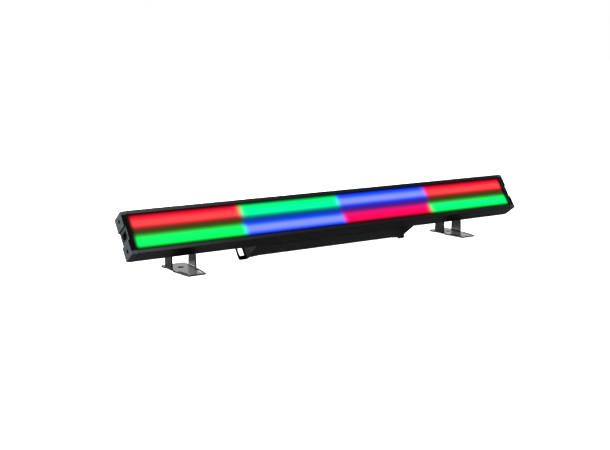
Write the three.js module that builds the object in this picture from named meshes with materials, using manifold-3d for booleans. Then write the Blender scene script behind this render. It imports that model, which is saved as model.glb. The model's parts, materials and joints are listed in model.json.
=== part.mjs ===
// LED strip batten: a one-metre light bar with a supply box on its back, on two tilting feet.
// Row frame: +X along the bar, -Y to the audience side, +Z up, millimetres.
// The origin is on the floor, under the middle of the whole object.
import * as THREE from 'three';
import * as BufferGeometryUtils from 'three/addons/utils/BufferGeometryUtils.js';
import Module from 'manifold-3d';

const wasm = await Module();
wasm.setup();

// ---- Driving dimensions ----
const LENGTH = 1000; // over both end caps
const HEIGHT = 92.5; // of the lit face, measured along it
const DEPTH = 38.5; // of the housing
const TILT = 36; // degrees that the face leans back at rest
const AXIS_HEIGHT = 56.5; // tilt axis above the floor
const AXIS_Y = 22.25;
const AXIS_BEHIND_FACE = 72.5;
const GAP = 0.3; // between neighbours that touch
const PLAY = 0.25; // radial clearance of a shaft or button in its hole

// ---- Housing ----
const WALL = 2.2;
const LIP_THICKNESS = 2.5;
const LIP_HEIGHT = 8;
const CAP_LENGTH = 13.7;
const CAP_INSET = 0.8; // how far the cap's outer face is drawn in
const CAP_FRAME = 10; // width of the cap's strip in front of the diffuser
const PAD_HEIGHT = 3; // raised pads on the cap's outer face
const CHANNEL_HALF = 15; // half the channel between the pads
const DIFFUSER_THICKNESS = 3;
const GROOVE = DIFFUSER_THICKNESS + 2 * GAP;
const LEDGE_THICKNESS = 1.4;
const LEDGE_HEIGHT = 4.7;
const WEB_DEPTH = 28.3; // front of the inner web, behind the face
const WEB_THICKNESS = 2;
const BOSS_DEPTH = 18.2; // cap screws, behind the face
const BOSS_Z = 32;
const BOSS_HALF = 4;
const ROW_Z = 20.3; // the two rows of light, above and below the middle
const ZONES = 4;
const LEDS_PER_ROW = 8;

const LINK = { front: 6.2, back: 31, half: 9.3 }; // link socket's window in the cap

// ---- Supply box, on the back of the housing ----
const BOX_LEFT = -212;
const BOX_RIGHT = 206;
const BOX_DEPTH = 51.5;
const COVER_FLANGE = 11;
const SHEET = 1.5;
const EYE_X = [-217, 211]; // middles of the loops
const EYE_SHEET = 3;
const EYE_STAND_OFF = 8; // room behind the loop for a safety cable
const EYE_SCREW_ACROSS = 26; // from the loop's middle to the screw through its tab
const COVER_SCREW_X = [EYE_X[0] + EYE_SCREW_ACROSS, EYE_X[1] - EYE_SCREW_ACROSS];
const COVER_SCREW_Z = 39;
const SOCKET_Y = -12.5;
const POWER_Z = 18;
const DATA_Z = -15;
const SOCKET_RADIUS = 11.8;
const LATCH = { low: 11.2, high: 14.4, half: 3.5, travel: 1 };
const WIRING = { x: 38, z: -15 };
const GROMMET_RADIUS = 6;
const LOOM_RADIUS = 2;
const CONTROL = { left: 50, right: 165, half: 32, front: 5, back: 6.6 };
const DISPLAY = { left: 62, right: 112, low: 2, high: 26 };
const BUTTON_X = [66, 80, 94, 108];
const BUTTON_Z = -14;
const BUTTON_RADIUS = 3.5;
const FUSE = { x: -172, z: 22 };

// ---- Feet ----
const FOOT_X = 360;
const FOOT_SHEET = 3;
const ARM_OUTER = 28; // half the foot's width over its arms
const ARM_HALF = 16.5; // half the arm's width at the plate
const ARM_TOP_RADIUS = 14;
const PLATE_FRONT = -75; // from the tilt axis
const PLATE_BACK = 39.7;
const STUD_RADIUS = 4;
const EAR_OUTER = 23;
const EAR_SHEET = 2.5;
const BRACKET_SCREW_Z = 20;
const BRACKET_SCREW_HOLE = 2.7;
const CLAMP_HOLE = 6.5; // radius, for an M12 bolt
const STUD_HEAD = 7.2; // hexagon moulded into the knob

// ---- Places worked out from them: the bar's frame has its origin on the tilt axis ----
const HALF = HEIGHT / 2;
const FACE = -AXIS_BEHIND_FACE;
const BACK = FACE + DEPTH;
const END = LENGTH / 2;
const EXTRUSION_END = END - CAP_LENGTH - GAP;
const GROOVE_BACK = FACE + LIP_THICKNESS + GROOVE;
const BOX_FRONT = BACK + GAP;
const BOX_BACK = BACK + BOX_DEPTH;
const COVER_EDGE = BOX_BACK - COVER_FLANGE;
const SHELL_EDGE = COVER_EDGE - GAP;
const ARM_INNER = ARM_OUTER - FOOT_SHEET;
const KNOB_SEAT = ARM_OUTER + GAP;
const CAP_FLOOR = -END + 5.2;
const CAP_SCREW_SEAT = -END + 9.5;
const BOARD_THICKNESS = 1.6;
const BOARD_FRONT = FACE + WEB_DEPTH - GAP - BOARD_THICKNESS;
const ZONE_LENGTH = (2 * EXTRUSION_END) / ZONES;
const ZONE_MIDDLES = Array.from({ length: ZONES }, (_, index) => (index + 0.5) * ZONE_LENGTH - EXTRUSION_END);
const BOTH_SIDES = [-1, 1];

// ---- Finishes ----
const finishes = {
  blackAnodised: { color: 0x141416, roughness: 0.4, metalness: 0.6 },
  blackPowderCoat: { color: 0x1c1c1e, roughness: 0.45, metalness: 0.3 },
  greyMoulding: { color: 0x34383a, roughness: 0.55, metalness: 0 },
  blackMoulding: { color: 0x0d0d0f, roughness: 0.6, metalness: 0 },
  opalPlastic: { color: 0xe9ecef, roughness: 0.35, metalness: 0 },
  whiteEnamel: { color: 0xf2f2ee, roughness: 0.5, metalness: 0 },
  whiteBoard: { color: 0xf4f4f0, roughness: 0.4, metalness: 0 },
  greenBoard: { color: 0x1d5a38, roughness: 0.5, metalness: 0 },
  blackSteel: { color: 0x26272a, roughness: 0.4, metalness: 0.9 },
  zincSteel: { color: 0xb9bcc2, roughness: 0.35, metalness: 1 },
  rubber: { color: 0x161616, roughness: 0.9, metalness: 0 },
  nylon: { color: 0xd9d6cc, roughness: 0.6, metalness: 0 },
  blueMoulding: { color: 0x27589c, roughness: 0.5, metalness: 0 },
  paleMoulding: { color: 0x9da1a6, roughness: 0.5, metalness: 0 },
  smokedWindow: { color: 0x101820, roughness: 0.15, metalness: 0 },
};

// ---- Solids: joining and cutting ----
function toSolid(geometry) {
  const bare = geometry.clone();
  bare.deleteAttribute('normal');
  bare.deleteAttribute('uv');
  const merged = BufferGeometryUtils.mergeVertices(bare, 1e-4);
  const vertProperties = new Float32Array(merged.attributes.position.array);
  const triVerts = new Uint32Array(merged.index.array);
  return new wasm.Manifold(new wasm.Mesh({ numProp: 3, vertProperties, triVerts }));
}

function toGeometry(solid) {
  const mesh = solid.getMesh();
  const geometry = new THREE.BufferGeometry();
  geometry.setAttribute('position', new THREE.BufferAttribute(new Float32Array(mesh.vertProperties), 3));
  geometry.setIndex(new THREE.BufferAttribute(new Uint32Array(mesh.triVerts), 1));
  geometry.computeVertexNormals();
  return geometry;
}

function join(...geometries) {
  return toGeometry(geometries.map(toSolid).reduce((whole, part) => whole.add(part)));
}

function cut(base, ...tools) {
  return toGeometry(tools.map(toSolid).reduce((whole, tool) => whole.subtract(tool), toSolid(base)));
}

// ---- Plain shapes, placed where they are needed ----
function block(x0, x1, y0, y1, z0, z1) {
  const geometry = new THREE.BoxGeometry(x1 - x0, y1 - y0, z1 - z0);
  return geometry.translate((x0 + x1) / 2, (y0 + y1) / 2, (z0 + z1) / 2);
}

function rodX(radius, x0, x1, y, z, sides = 12) {
  const geometry = new THREE.CylinderGeometry(radius, radius, x1 - x0, sides);
  return geometry.rotateZ(Math.PI / 2).translate((x0 + x1) / 2, y, z);
}

function rodY(radius, x, y0, y1, z, sides = 12) {
  return new THREE.CylinderGeometry(radius, radius, y1 - y0, sides).translate(x, (y0 + y1) / 2, z);
}

function rodZ(radius, x, y, z0, z1, sides = 12) {
  const geometry = new THREE.CylinderGeometry(radius, radius, z1 - z0, sides);
  return geometry.rotateX(Math.PI / 2).translate(x, y, (z0 + z1) / 2);
}

function outline(points) {
  return new THREE.Shape(points.map(([a, b]) => new THREE.Vector2(a, b)));
}

// A flat outline in (y, z), drawn out along X.
function drawnAlongX(shape, x0, x1, curveSegments = 3) {
  const geometry = new THREE.ExtrudeGeometry(shape, { depth: x1 - x0, bevelEnabled: false, curveSegments });
  const turn = new THREE.Matrix4().makeBasis(
    new THREE.Vector3(0, 1, 0),
    new THREE.Vector3(0, 0, 1),
    new THREE.Vector3(1, 0, 0),
  );
  return geometry.applyMatrix4(turn).translate(x0, 0, 0);
}

// A flat outline in (x, z), drawn out along Y.
function drawnAlongY(shape, y0, y1, curveSegments = 3) {
  const geometry = new THREE.ExtrudeGeometry(shape, { depth: y1 - y0, bevelEnabled: false, curveSegments });
  return geometry.rotateX(Math.PI / 2).translate(0, y1, 0);
}

// A flat outline in (x, y), drawn out along Z.
function drawnAlongZ(shape, z0, z1, curveSegments = 3) {
  const geometry = new THREE.ExtrudeGeometry(shape, { depth: z1 - z0, bevelEnabled: false, curveSegments });
  return geometry.translate(0, 0, z0);
}

// A closed outline through corners, each rounded with its own radius: [a, b, radius].
function roundedOutline(corners) {
  const shape = new THREE.Shape();
  corners.forEach(([a, b, radius], index) => {
    const corner = new THREE.Vector2(a, b);
    const before = new THREE.Vector2(...corners.at(index - 1).slice(0, 2));
    const after = new THREE.Vector2(...corners[(index + 1) % corners.length].slice(0, 2));
    const enter = corner.clone().add(before.sub(corner).setLength(radius));
    const leave = corner.clone().add(after.sub(corner).setLength(radius));
    if (index === 0) {
      shape.moveTo(enter.x, enter.y);
    } else {
      shape.lineTo(enter.x, enter.y);
    }
    if (radius > 0) {
      shape.quadraticCurveTo(corner.x, corner.y, leave.x, leave.y);
    }
  });
  shape.closePath();
  return shape;
}

// The outline of a folded sheet: a line of points given a thickness to its left-hand side.
function foldedOutline(points, thickness) {
  const line = points.map(([a, b]) => new THREE.Vector2(a, b));
  const offset = line.map((point, index) => {
    const before = line[Math.max(index - 1, 0)];
    const after = line[Math.min(index + 1, line.length - 1)];
    const into = (index === 0 ? after.clone().sub(point) : point.clone().sub(before)).normalize();
    const out = (index === line.length - 1 ? into.clone() : after.clone().sub(point)).normalize();
    const left = new THREE.Vector2(-into.y - out.y, into.x + out.x).normalize();
    const stretch = thickness / Math.max(left.dot(new THREE.Vector2(-into.y, into.x)), 0.2);
    return point.clone().addScaledVector(left, stretch);
  });
  return new THREE.Shape([...line, ...offset.reverse()]);
}

function piece(name, finish, geometry) {
  const mesh = new THREE.Mesh(geometry, new THREE.MeshStandardMaterial(finishes[finish]));
  mesh.name = name;
  return mesh;
}

// A screw along X or Y is drawn along +Y with its head's underside at the origin, then turned.
function screwGeometry(headRadius, headHeight, shankRadius, shankLength) {
  const body = join(rodY(headRadius, 0, 0, headHeight, 0, 12), rodY(shankRadius, 0, -shankLength, 0.2, 0, 8));
  return cut(body, rodY(headRadius * 0.45, 0, headHeight * 0.45, headHeight + 1, 0, 6));
}

// ---- Housing: an extruded channel, open at the front, with a wiring duct behind its web ----
function housingExtrusion() {
  const inner = HALF - WALL;
  const ledge = inner - LEDGE_HEIGHT;
  const bossFront = FACE + BOSS_DEPTH - BOSS_HALF;
  const bossBack = FACE + BOSS_DEPTH + BOSS_HALF;
  const bossInner = BOSS_Z - BOSS_HALF + 0.4;
  const web = FACE + WEB_DEPTH;
  const upperHalf = [
    [FACE, HALF],
    [FACE, HALF - LIP_HEIGHT],
    [FACE + LIP_THICKNESS, HALF - LIP_HEIGHT],
    [FACE + LIP_THICKNESS, inner],
    [GROOVE_BACK, inner],
    [GROOVE_BACK, ledge],
    [GROOVE_BACK + LEDGE_THICKNESS, ledge],
    [GROOVE_BACK + LEDGE_THICKNESS, inner],
    [bossFront, inner],
    [bossFront, bossInner],
    [bossBack, bossInner],
    [bossBack, inner],
    [web, inner],
  ];
  const lowerHalf = upperHalf.map(([y, z]) => [y, -z]).reverse();
  const profile = outline([...upperHalf, ...lowerHalf, [BACK, -HALF], [BACK, HALF]]);
  for (const side of BOTH_SIDES) {
    const bore = new THREE.Path();
    bore.absarc(FACE + BOSS_DEPTH, side * BOSS_Z, 1.7, 0, 2 * Math.PI);
    profile.holes.push(bore);
  }
  const bracketHoles = BOTH_SIDES.flatMap((side) => BOTH_SIDES.map((end) => (
    rodY(BRACKET_SCREW_HOLE, side * FOOT_X, BACK - WALL - 1, BACK + 1, end * BRACKET_SCREW_Z, 8)
  )));
  const wiringHole = rodY(GROMMET_RADIUS + PLAY, WIRING.x, BACK - WALL - 1, BACK + 1, WIRING.z);
  const webHole = rodY(3, WIRING.x, web - 1, web + WEB_THICKNESS + 1, WIRING.z, 8);
  const duct = block(-END, END, web + WEB_THICKNESS, BACK - WALL, -inner, inner);
  const solidBar = drawnAlongX(profile, -EXTRUSION_END, EXTRUSION_END, 4);
  return cut(solidBar, duct, ...bracketHoles, wiringHole, webHole);
}

// ---- End cap: a moulded tray, drawn here for the left end; the right one is turned round ----
function endCap() {
  const mouth = -END + CAP_LENGTH;
  const middle = (FACE + BACK) / 2;
  const shell = new THREE.BoxGeometry(CAP_LENGTH, DEPTH, HEIGHT).translate(-END + CAP_LENGTH / 2, middle, 0);
  const corners = shell.attributes.position;
  for (let index = 0; index < corners.count; index += 1) {
    if (corners.getX(index) < -END + 1) {
      corners.setY(index, corners.getY(index) - Math.sign(corners.getY(index) - middle) * CAP_INSET);
      corners.setZ(index, corners.getZ(index) - Math.sign(corners.getZ(index)) * CAP_INSET);
    }
  }
  const pocket = block(CAP_FLOOR, mouth + 1, FACE + LIP_THICKNESS, BACK - WALL - 0.4, -HALF + WALL, HALF - WALL);
  const light = HALF - LIP_HEIGHT;
  const window = block(-END + CAP_FRAME, mouth + 1, FACE - 1, FACE + LIP_THICKNESS + 0.1, -light, light);
  const channel = block(-END - 1, -END + PAD_HEIGHT, FACE - 1, BACK + 1, -CHANNEL_HALF, CHANNEL_HALF);
  const socket = block(-END, CAP_FLOOR + 1, FACE + LINK.front, FACE + LINK.back, -LINK.half, LINK.half);
  const pillars = BOTH_SIDES.map((end) => rodX(5.4, CAP_FLOOR - 0.5, mouth, FACE + BOSS_DEPTH, end * BOSS_Z, 16));
  const wells = BOTH_SIDES.map((end) => rodX(4.2, -END - 1, CAP_SCREW_SEAT, FACE + BOSS_DEPTH, end * BOSS_Z, 16));
  const bores = BOTH_SIDES.map((end) => rodX(1.8, -END, mouth + 1, FACE + BOSS_DEPTH, end * BOSS_Z, 8));
  const tray = cut(shell, pocket, window, channel, socket);
  return cut(join(tray, ...pillars), ...wells, ...bores);
}

// The link socket in each cap: a moulded cup with a flange behind the wall and five contact studs.
function linkSocket() {
  const front = FACE + LINK.front + GAP;
  const back = FACE + LINK.back - GAP;
  const half = LINK.half - GAP;
  const cup = block(-END + PAD_HEIGHT + 0.5, CAP_FLOOR + 6.5, front, back, -half, half);
  const flange = block(CAP_FLOOR + GAP, CAP_FLOOR + 1.8, front - 0.2, back + 2, -half - 2, half + 2);
  const cavity = block(-END, CAP_FLOOR + 5, front + 1.8, back - 1.8, -half + 1.8, half - 1.8);
  const studs = [-2, -1, 0, 1, 2].map((step) => (
    rodX(0.9, CAP_FLOOR + 3, CAP_FLOOR + 5.5, (front + back) / 2 + step * 3.6, 0, 6)
  ));
  return join(cut(join(cup, flange), cavity), ...studs);
}

function capScrew() {
  return screwGeometry(3.2, 2.6, 1.45, 14).rotateZ(Math.PI / 2);
}

// ---- Light engine: diffuser, folded reflector tray and one board of light-emitting diodes a zone ----
function diffuser() {
  const front = FACE + LIP_THICKNESS + GAP;
  const edge = HALF - WALL - 0.35;
  return block(-END + 7.5, END - 7.5, front, front + DIFFUSER_THICKNESS, -edge, edge);
}

function reflectorTray() {
  const floor = BOARD_FRONT - 0.4 - 0.8;
  const rim = GROOVE_BACK + LEDGE_THICKNESS + GAP;
  const upper = [
    [rim, 38],
    [rim + 5.5, 26.8],
    [floor, 25.2],
    [floor, 5],
  ];
  const lower = upper.map(([y, z]) => [y, -z]).reverse();
  const tray = drawnAlongX(foldedOutline([...upper, [floor - 7, 0], ...lower], 0.8), -EXTRUSION_END, EXTRUSION_END);
  const slots = ZONE_MIDDLES.flatMap((x) => [-ROW_Z, ROW_Z].map((z) => (
    block(x - ZONE_LENGTH / 2 + 3, x + ZONE_LENGTH / 2 - 3, floor - 1, floor + 2, z - 3.3, z + 3.3)
  )));
  return cut(tray, ...slots);
}

function ledBoard(x) {
  const half = ZONE_LENGTH / 2 - 0.5;
  const slab = block(x - half, x + half, BOARD_FRONT, BOARD_FRONT + 1.6, -30, 30);
  const pitch = (2 * half) / LEDS_PER_ROW;
  const diodes = [];
  for (const z of [-ROW_Z, ROW_Z]) {
    for (let index = 0; index < LEDS_PER_ROW; index += 1) {
      const middle = x - half + (index + 0.5) * pitch;
      diodes.push(block(middle - 2.5, middle + 2.5, BOARD_FRONT - 1.3, BOARD_FRONT + 0.2, z - 2.5, z + 2.5));
    }
  }
  return join(slab, ...diodes);
}

// ---- Supply box ----
function supplyShell() {
  const outer = block(BOX_LEFT, BOX_RIGHT, BOX_FRONT, SHELL_EDGE, -HALF, HALF);
  const room = block(
    BOX_LEFT + SHEET,
    BOX_RIGHT - SHEET,
    BOX_FRONT + SHEET,
    SHELL_EDGE + 1,
    -HALF + SHEET,
    HALF - SHEET,
  );
  const posts = COVER_SCREW_X.flatMap((x) => [-COVER_SCREW_Z, COVER_SCREW_Z].map((z) => (
    block(x - 4.6, x + 4.6, BOX_FRONT + 1, BOX_BACK - SHEET - GAP, z - 4.6, z + 4.6)
  )));
  const standoffs = [CONTROL.left + 5, CONTROL.right - 5].flatMap((x) => [-27, 27].map((z) => (
    rodY(2.6, x, BOX_FRONT + 1, CONTROL.front - GAP, z, 8)
  )));
  const tappings = COVER_SCREW_X.flatMap((x) => [-COVER_SCREW_Z, COVER_SCREW_Z].map((z) => (
    rodY(1.7, x, -4, BOX_BACK, z, 8)
  )));
  const openings = [POWER_Z, DATA_Z].flatMap((z) => [
    rodX(SOCKET_RADIUS + GAP, BOX_LEFT - 1, BOX_LEFT + SHEET + 1, SOCKET_Y, z, 16),
    rodX(SOCKET_RADIUS + GAP, BOX_RIGHT - SHEET - 1, BOX_RIGHT + 1, SOCKET_Y, z, 16),
  ]);
  const wiringHole = rodY(GROMMET_RADIUS + PLAY, WIRING.x, BOX_FRONT - 1, BOX_FRONT + SHEET + 1, WIRING.z);
  return cut(join(cut(outer, room), ...posts, ...standoffs), ...tappings, ...openings, wiringHole);
}

function supplyCover() {
  const outer = block(BOX_LEFT, BOX_RIGHT, COVER_EDGE, BOX_BACK, -HALF, HALF);
  const room = block(
    BOX_LEFT + SHEET,
    BOX_RIGHT - SHEET,
    COVER_EDGE - 1,
    BOX_BACK - SHEET,
    -HALF + SHEET,
    HALF - SHEET,
  );
  const screwHoles = COVER_SCREW_X.flatMap((x) => [-COVER_SCREW_Z, COVER_SCREW_Z].map((z) => (
    rodY(1.8, x, BOX_BACK - 3, BOX_BACK + 1, z, 8)
  )));
  const display = block(
    DISPLAY.left - GAP,
    DISPLAY.right + GAP,
    BOX_BACK - 3,
    BOX_BACK + 1,
    DISPLAY.low - GAP,
    DISPLAY.high + GAP,
  );
  const buttonHoles = BUTTON_X.map((x) => rodY(BUTTON_RADIUS + PLAY, x, BOX_BACK - 3, BOX_BACK + 1, BUTTON_Z));
  const fuseHole = rodY(7.8, FUSE.x, BOX_BACK - 3, BOX_BACK + 1, FUSE.z, 16);
  return cut(outer, room, ...screwHoles, display, ...buttonHoles, fuseHole);
}

// The supply is a folded tray, open towards the cover, with its parts standing on the tray's floor.
function powerSupply() {
  const floor = BOX_FRONT + SHEET + GAP;
  const outside = block(-155, 20, floor, 2, -36, 36);
  const inside = block(-153.8, 18.8, floor + 1.2, 3, -34.8, 34.8);
  const parts = [
    block(-150, -138, floor + 1, 0, -30, 30), // screw terminals
    block(-125, -95, floor + 1, -4, -22, 4), // mains filter
    block(-125, -95, floor + 1, -2, 10, 28), // reservoir capacitor
    block(-80, -44, floor + 1, 0, -18, 18), // transformer
    block(-30, -24, floor + 1, 0, -32, 32), // heat sink
    block(-12, 8, floor + 1, -6, -24, 24), // output filter
  ];
  return join(cut(outside, inside), ...parts);
}

function controlBoard() {
  const slab = block(CONTROL.left, CONTROL.right, CONTROL.front, CONTROL.back, -CONTROL.half, CONTROL.half);
  const screen = block(
    DISPLAY.left + 2,
    DISPLAY.right - 2,
    CONTROL.back - 0.2,
    BOX_BACK - SHEET - GAP,
    DISPLAY.low + 2,
    DISPLAY.high - 2,
  );
  const switches = BUTTON_X.map((x) => (
    block(x - 3, x + 3, CONTROL.back - 0.2, CONTROL.back + 0.4, BUTTON_Z - 3, BUTTON_Z + 3)
  ));
  return join(slab, screen, ...switches);
}

function displayWindow() {
  return block(DISPLAY.left, DISPLAY.right, BOX_BACK - 1.2, BOX_BACK + 0.5, DISPLAY.low, DISPLAY.high);
}

function menuButton(x) {
  const stem = rodY(BUTTON_RADIUS, x, CONTROL.back + 1.5, BOX_BACK + 1.6, BUTTON_Z);
  const collar = rodY(BUTTON_RADIUS + 1.2, x, BOX_BACK - SHEET - GAP - 1.6, BOX_BACK - SHEET - GAP, BUTTON_Z);
  return join(stem, collar);
}

function fuseHolder() {
  const barrel = rodY(7.5, FUSE.x, -8, BOX_BACK + 1, FUSE.z, 16);
  const flange = rodY(9, FUSE.x, BOX_BACK + GAP, BOX_BACK + 1.9, FUSE.z, 16);
  return cut(join(barrel, flange), rodY(4.4, FUSE.x, -4, BOX_BACK + 3, FUSE.z));
}

function fuseCap() {
  const seat = BOX_BACK + 1.9 + GAP;
  const head = rodY(6, FUSE.x, seat, seat + 4.5, FUSE.z, 16);
  const carrier = rodY(4, FUSE.x, 0, seat + 0.5, FUSE.z);
  const slot = block(FUSE.x - 7, FUSE.x + 7, seat + 3, seat + 5, FUSE.z - 0.8, FUSE.z + 0.8);
  return cut(join(head, carrier), slot);
}

// Panel sockets are drawn for the left end, with the mouth towards -X and the wall's outside at x = 0.
function socketBody(depth) {
  const flange = roundedOutline([
    [-13, -15.5, 3],
    [13, -15.5, 3],
    [13, 15.5, 3],
    [-13, 15.5, 3],
  ]);
  const plate = drawnAlongX(flange, -GAP - 2, -GAP, 3);
  return join(plate, rodX(SOCKET_RADIUS, -GAP - 0.5, depth, 0, 0, 16));
}

function powerSocket() {
  const cavity = rodX(9.6, -5, 18, 0, 0, 16);
  const blades = [0, 1, 2].map((step) => (
    block(14, 18.5, 5.2, 6.4, -2, 2).rotateX((step * 2 * Math.PI) / 3)
  ));
  return join(cut(socketBody(22), cavity), ...blades);
}

function dataInlet() {
  const cavity = rodX(9.3, -5, 15, 0, 0, 16);
  const pins = [0, 1, 2, 3, 4].map((step) => (
    rodX(0.9, 4, 15.5, 0, 5.6, 6).rotateX(((step - 2) * Math.PI) / 3.6)
  ));
  return join(cut(socketBody(20), cavity), ...pins);
}

function dataOutlet() {
  const ring = cut(rodX(9.6, -5, 13, 0, 0, 16), rodX(7.2, -GAP - 1, 14, 0, 0, 16));
  const contacts = [0, 1, 2, 3, 4].map((step) => (
    rodX(1.2, -5, 10, 0, 4.9, 6).rotateX(((step - 2) * Math.PI) / 3.6)
  ));
  const slot = block(-5, 1, -LATCH.half - PLAY, LATCH.half + PLAY, LATCH.low - PLAY, LATCH.high + PLAY);
  return cut(socketBody(20), ring, ...contacts, slot);
}

// The latch stops short of the wall by its own travel, so that it stays outside when pressed.
function dataLatch() {
  const inner = -GAP - 0.1 - LATCH.travel;
  return block(-GAP - 3.4, inner, -LATCH.half, LATCH.half, LATCH.low + 0.6, LATCH.high);
}

// Grommet and loom carry the board supply through the housing's back wall.
function cableGrommet() {
  const sleeve = rodY(GROMMET_RADIUS, WIRING.x, BACK - WALL - 0.4, BOX_FRONT + SHEET + GAP + 0.5, WIRING.z);
  const collar = rodY(8.4, WIRING.x, BOX_FRONT + SHEET + GAP, BOX_FRONT + SHEET + 2, WIRING.z);
  return cut(join(sleeve, collar), rodY(2.8, WIRING.x, BACK - 9, BOX_FRONT + 9, WIRING.z));
}

function wiringLoom() {
  const route = new THREE.CatmullRomCurve3([
    new THREE.Vector3(WIRING.x, BOARD_FRONT + 1.6 + GAP, WIRING.z),
    new THREE.Vector3(WIRING.x, BACK, WIRING.z),
    new THREE.Vector3(WIRING.x, BOX_FRONT + 9, WIRING.z),
    new THREE.Vector3(WIRING.x + 7, BOX_FRONT + 19, WIRING.z),
    new THREE.Vector3(WIRING.x + 20, BOX_FRONT + 24, WIRING.z),
    new THREE.Vector3(WIRING.x + 33, BOX_FRONT + 28, WIRING.z),
    new THREE.Vector3(WIRING.x + 38, CONTROL.front - 1.2, WIRING.z),
  ]);
  const section = new THREE.Shape();
  section.absarc(0, 0, LOOM_RADIUS, 0, 2 * Math.PI);
  return new THREE.ExtrudeGeometry(section, { steps: 12, extrudePath: route, curveSegments: 4 });
}

// ---- Safety eye: a cranked plate whose loop stands off the cover, past the end of the box ----
// The tab goes towards the middle of the box: side is +1 for the left eye, -1 for the right one.
function safetyEye(x, side) {
  const at = (across, z, radius) => [x + side * across, z, radius];
  const seat = BOX_BACK + GAP;
  const raised = seat + EYE_STAND_OFF;
  const loop = roundedOutline([
    at(-10, -46.75, 5),
    at(12, -46.75, 0),
    at(12, -12, 0),
    at(-10, -12, 5),
  ]);
  const window = roundedOutline([
    at(-6, -38, 2.5),
    at(6, -38, 2.5),
    at(6, -20, 2.5),
    at(-6, -20, 2.5),
  ]);
  const tab = roundedOutline([
    at(9, -46.75, 0),
    at(33.5, -45.5, 3),
    at(33.5, -31, 3),
    at(9, -29, 0),
  ]);
  const riser = [x + side * 9, x + side * 12].sort((a, b) => a - b);
  return cut(
    join(
      drawnAlongY(tab, seat, seat + EYE_SHEET),
      block(...riser, seat, raised + EYE_SHEET, -46.75, -29),
      drawnAlongY(loop, raised, raised + EYE_SHEET),
    ),
    drawnAlongY(window, raised - 1, raised + 4),
    rodY(1.8, x + side * EYE_SCREW_ACROSS, seat - 1, seat + 4, -COVER_SCREW_Z, 8),
  );
}

function coverScrew(overPlate) {
  return screwGeometry(3.2, 2, 1.45, overPlate ? 17 : 14);
}

// ---- Pivot bracket: a bent channel screwed to the housing, with threaded ears ----
function pivotBracket(x) {
  const back = BACK + GAP;
  const base = block(x - EAR_OUTER, x + EAR_OUTER, back, back + EAR_SHEET, -26, 26);
  const earShape = roundedOutline([
    [back, -15, 0],
    [back + 12, -14, 3],
    [13, -13, 11],
    [13, 13, 11],
    [back + 12, 14, 3],
    [back, 15, 0],
  ]);
  const parts = [base];
  for (const side of BOTH_SIDES) {
    const inner = x + side * (EAR_OUTER - EAR_SHEET);
    const outer = x + side * EAR_OUTER;
    parts.push(drawnAlongX(earShape, Math.min(inner, outer), Math.max(inner, outer)));
    parts.push(rodX(8, Math.min(inner, inner - side * 5), Math.max(inner, inner - side * 5), 0, 0, 6));
  }
  const bore = rodX(STUD_RADIUS + 0.1, x - 40, x + 40, 0, 0, 16);
  const screwHoles = BOTH_SIDES.map((end) => rodY(BRACKET_SCREW_HOLE, x, back - 1, back + 4, end * BRACKET_SCREW_Z, 8));
  return cut(join(...parts), bore, ...screwHoles);
}

function bracketScrew() {
  return screwGeometry(4.5, 3, 2.4, 9);
}

// ---- Foot: one bent sheet, a plate on the floor with an arm up each side ----
// Drawn with its origin on the floor under the tilt axis.
function footBracket() {
  const plate = roundedOutline([
    [-20, PLATE_FRONT, 3],
    [20, PLATE_FRONT, 3],
    [ARM_OUTER - 1, -ARM_HALF - 3, 0],
    [ARM_OUTER - 1, ARM_HALF + 3, 0],
    [ARM_OUTER + 1, PLATE_BACK, 7],
    [-ARM_OUTER - 1, PLATE_BACK, 7],
    [-ARM_OUTER + 1, ARM_HALF + 3, 0],
    [-ARM_OUTER + 1, -ARM_HALF - 3, 0],
  ]);
  const armShape = roundedOutline([
    [-ARM_HALF, 0, 0],
    [ARM_HALF, 0, 0],
    [ARM_TOP_RADIUS, AXIS_HEIGHT + ARM_TOP_RADIUS, 11],
    [-ARM_TOP_RADIUS, AXIS_HEIGHT + ARM_TOP_RADIUS, 11],
  ]);
  const slot = (side) => roundedOutline([
    [side * 13.4, PLATE_FRONT + 7, 2.2],
    [side * 19.2, PLATE_FRONT + 6.6, 2.2],
    [side * 23.4, -33, 2.2],
    [side * 17.6, -33, 2.2],
  ]);
  const arms = [
    drawnAlongX(armShape, -ARM_OUTER, -ARM_INNER),
    drawnAlongX(armShape, ARM_INNER, ARM_OUTER),
  ];
  return cut(
    join(drawnAlongZ(plate, 0, FOOT_SHEET), ...arms),
    rodX(STUD_RADIUS + GAP, -40, 40, 0, AXIS_HEIGHT, 16),
    rodZ(CLAMP_HOLE, 0, 0, -1, FOOT_SHEET + 1, 16),
    drawnAlongZ(slot(-1), -1, FOOT_SHEET + 1, 2),
    drawnAlongZ(slot(1), -1, FOOT_SHEET + 1, 2),
  );
}

// Clamp knob: a five-lobed grip moulded on a threaded stud, drawn for the +X side.
function knobGrip() {
  const lobes = 5;
  const steps = 30;
  const edge = Array.from({ length: steps }, (_, index) => {
    const angle = (index / steps) * 2 * Math.PI;
    const radius = 14.4 + 1.8 * Math.cos(lobes * angle);
    return [radius * Math.cos(angle), radius * Math.sin(angle)];
  });
  const hub = rodX(9, KNOB_SEAT, KNOB_SEAT + 5, 0, 0, 16);
  const grip = drawnAlongX(outline(edge), KNOB_SEAT + 4, KNOB_SEAT + 16);
  return cut(join(hub, grip), rodX(STUD_HEAD + 0.1, KNOB_SEAT - 1, KNOB_SEAT + 8.1, 0, 0, 6));
}

function knobStud() {
  const shank = rodX(STUD_RADIUS, EAR_OUTER - EAR_SHEET - 5.5, KNOB_SEAT + 3, 0, 0, 16);
  const head = rodX(STUD_HEAD, KNOB_SEAT + 0.5, KNOB_SEAT + 7.8, 0, 0, 6);
  return join(shank, head);
}

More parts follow.
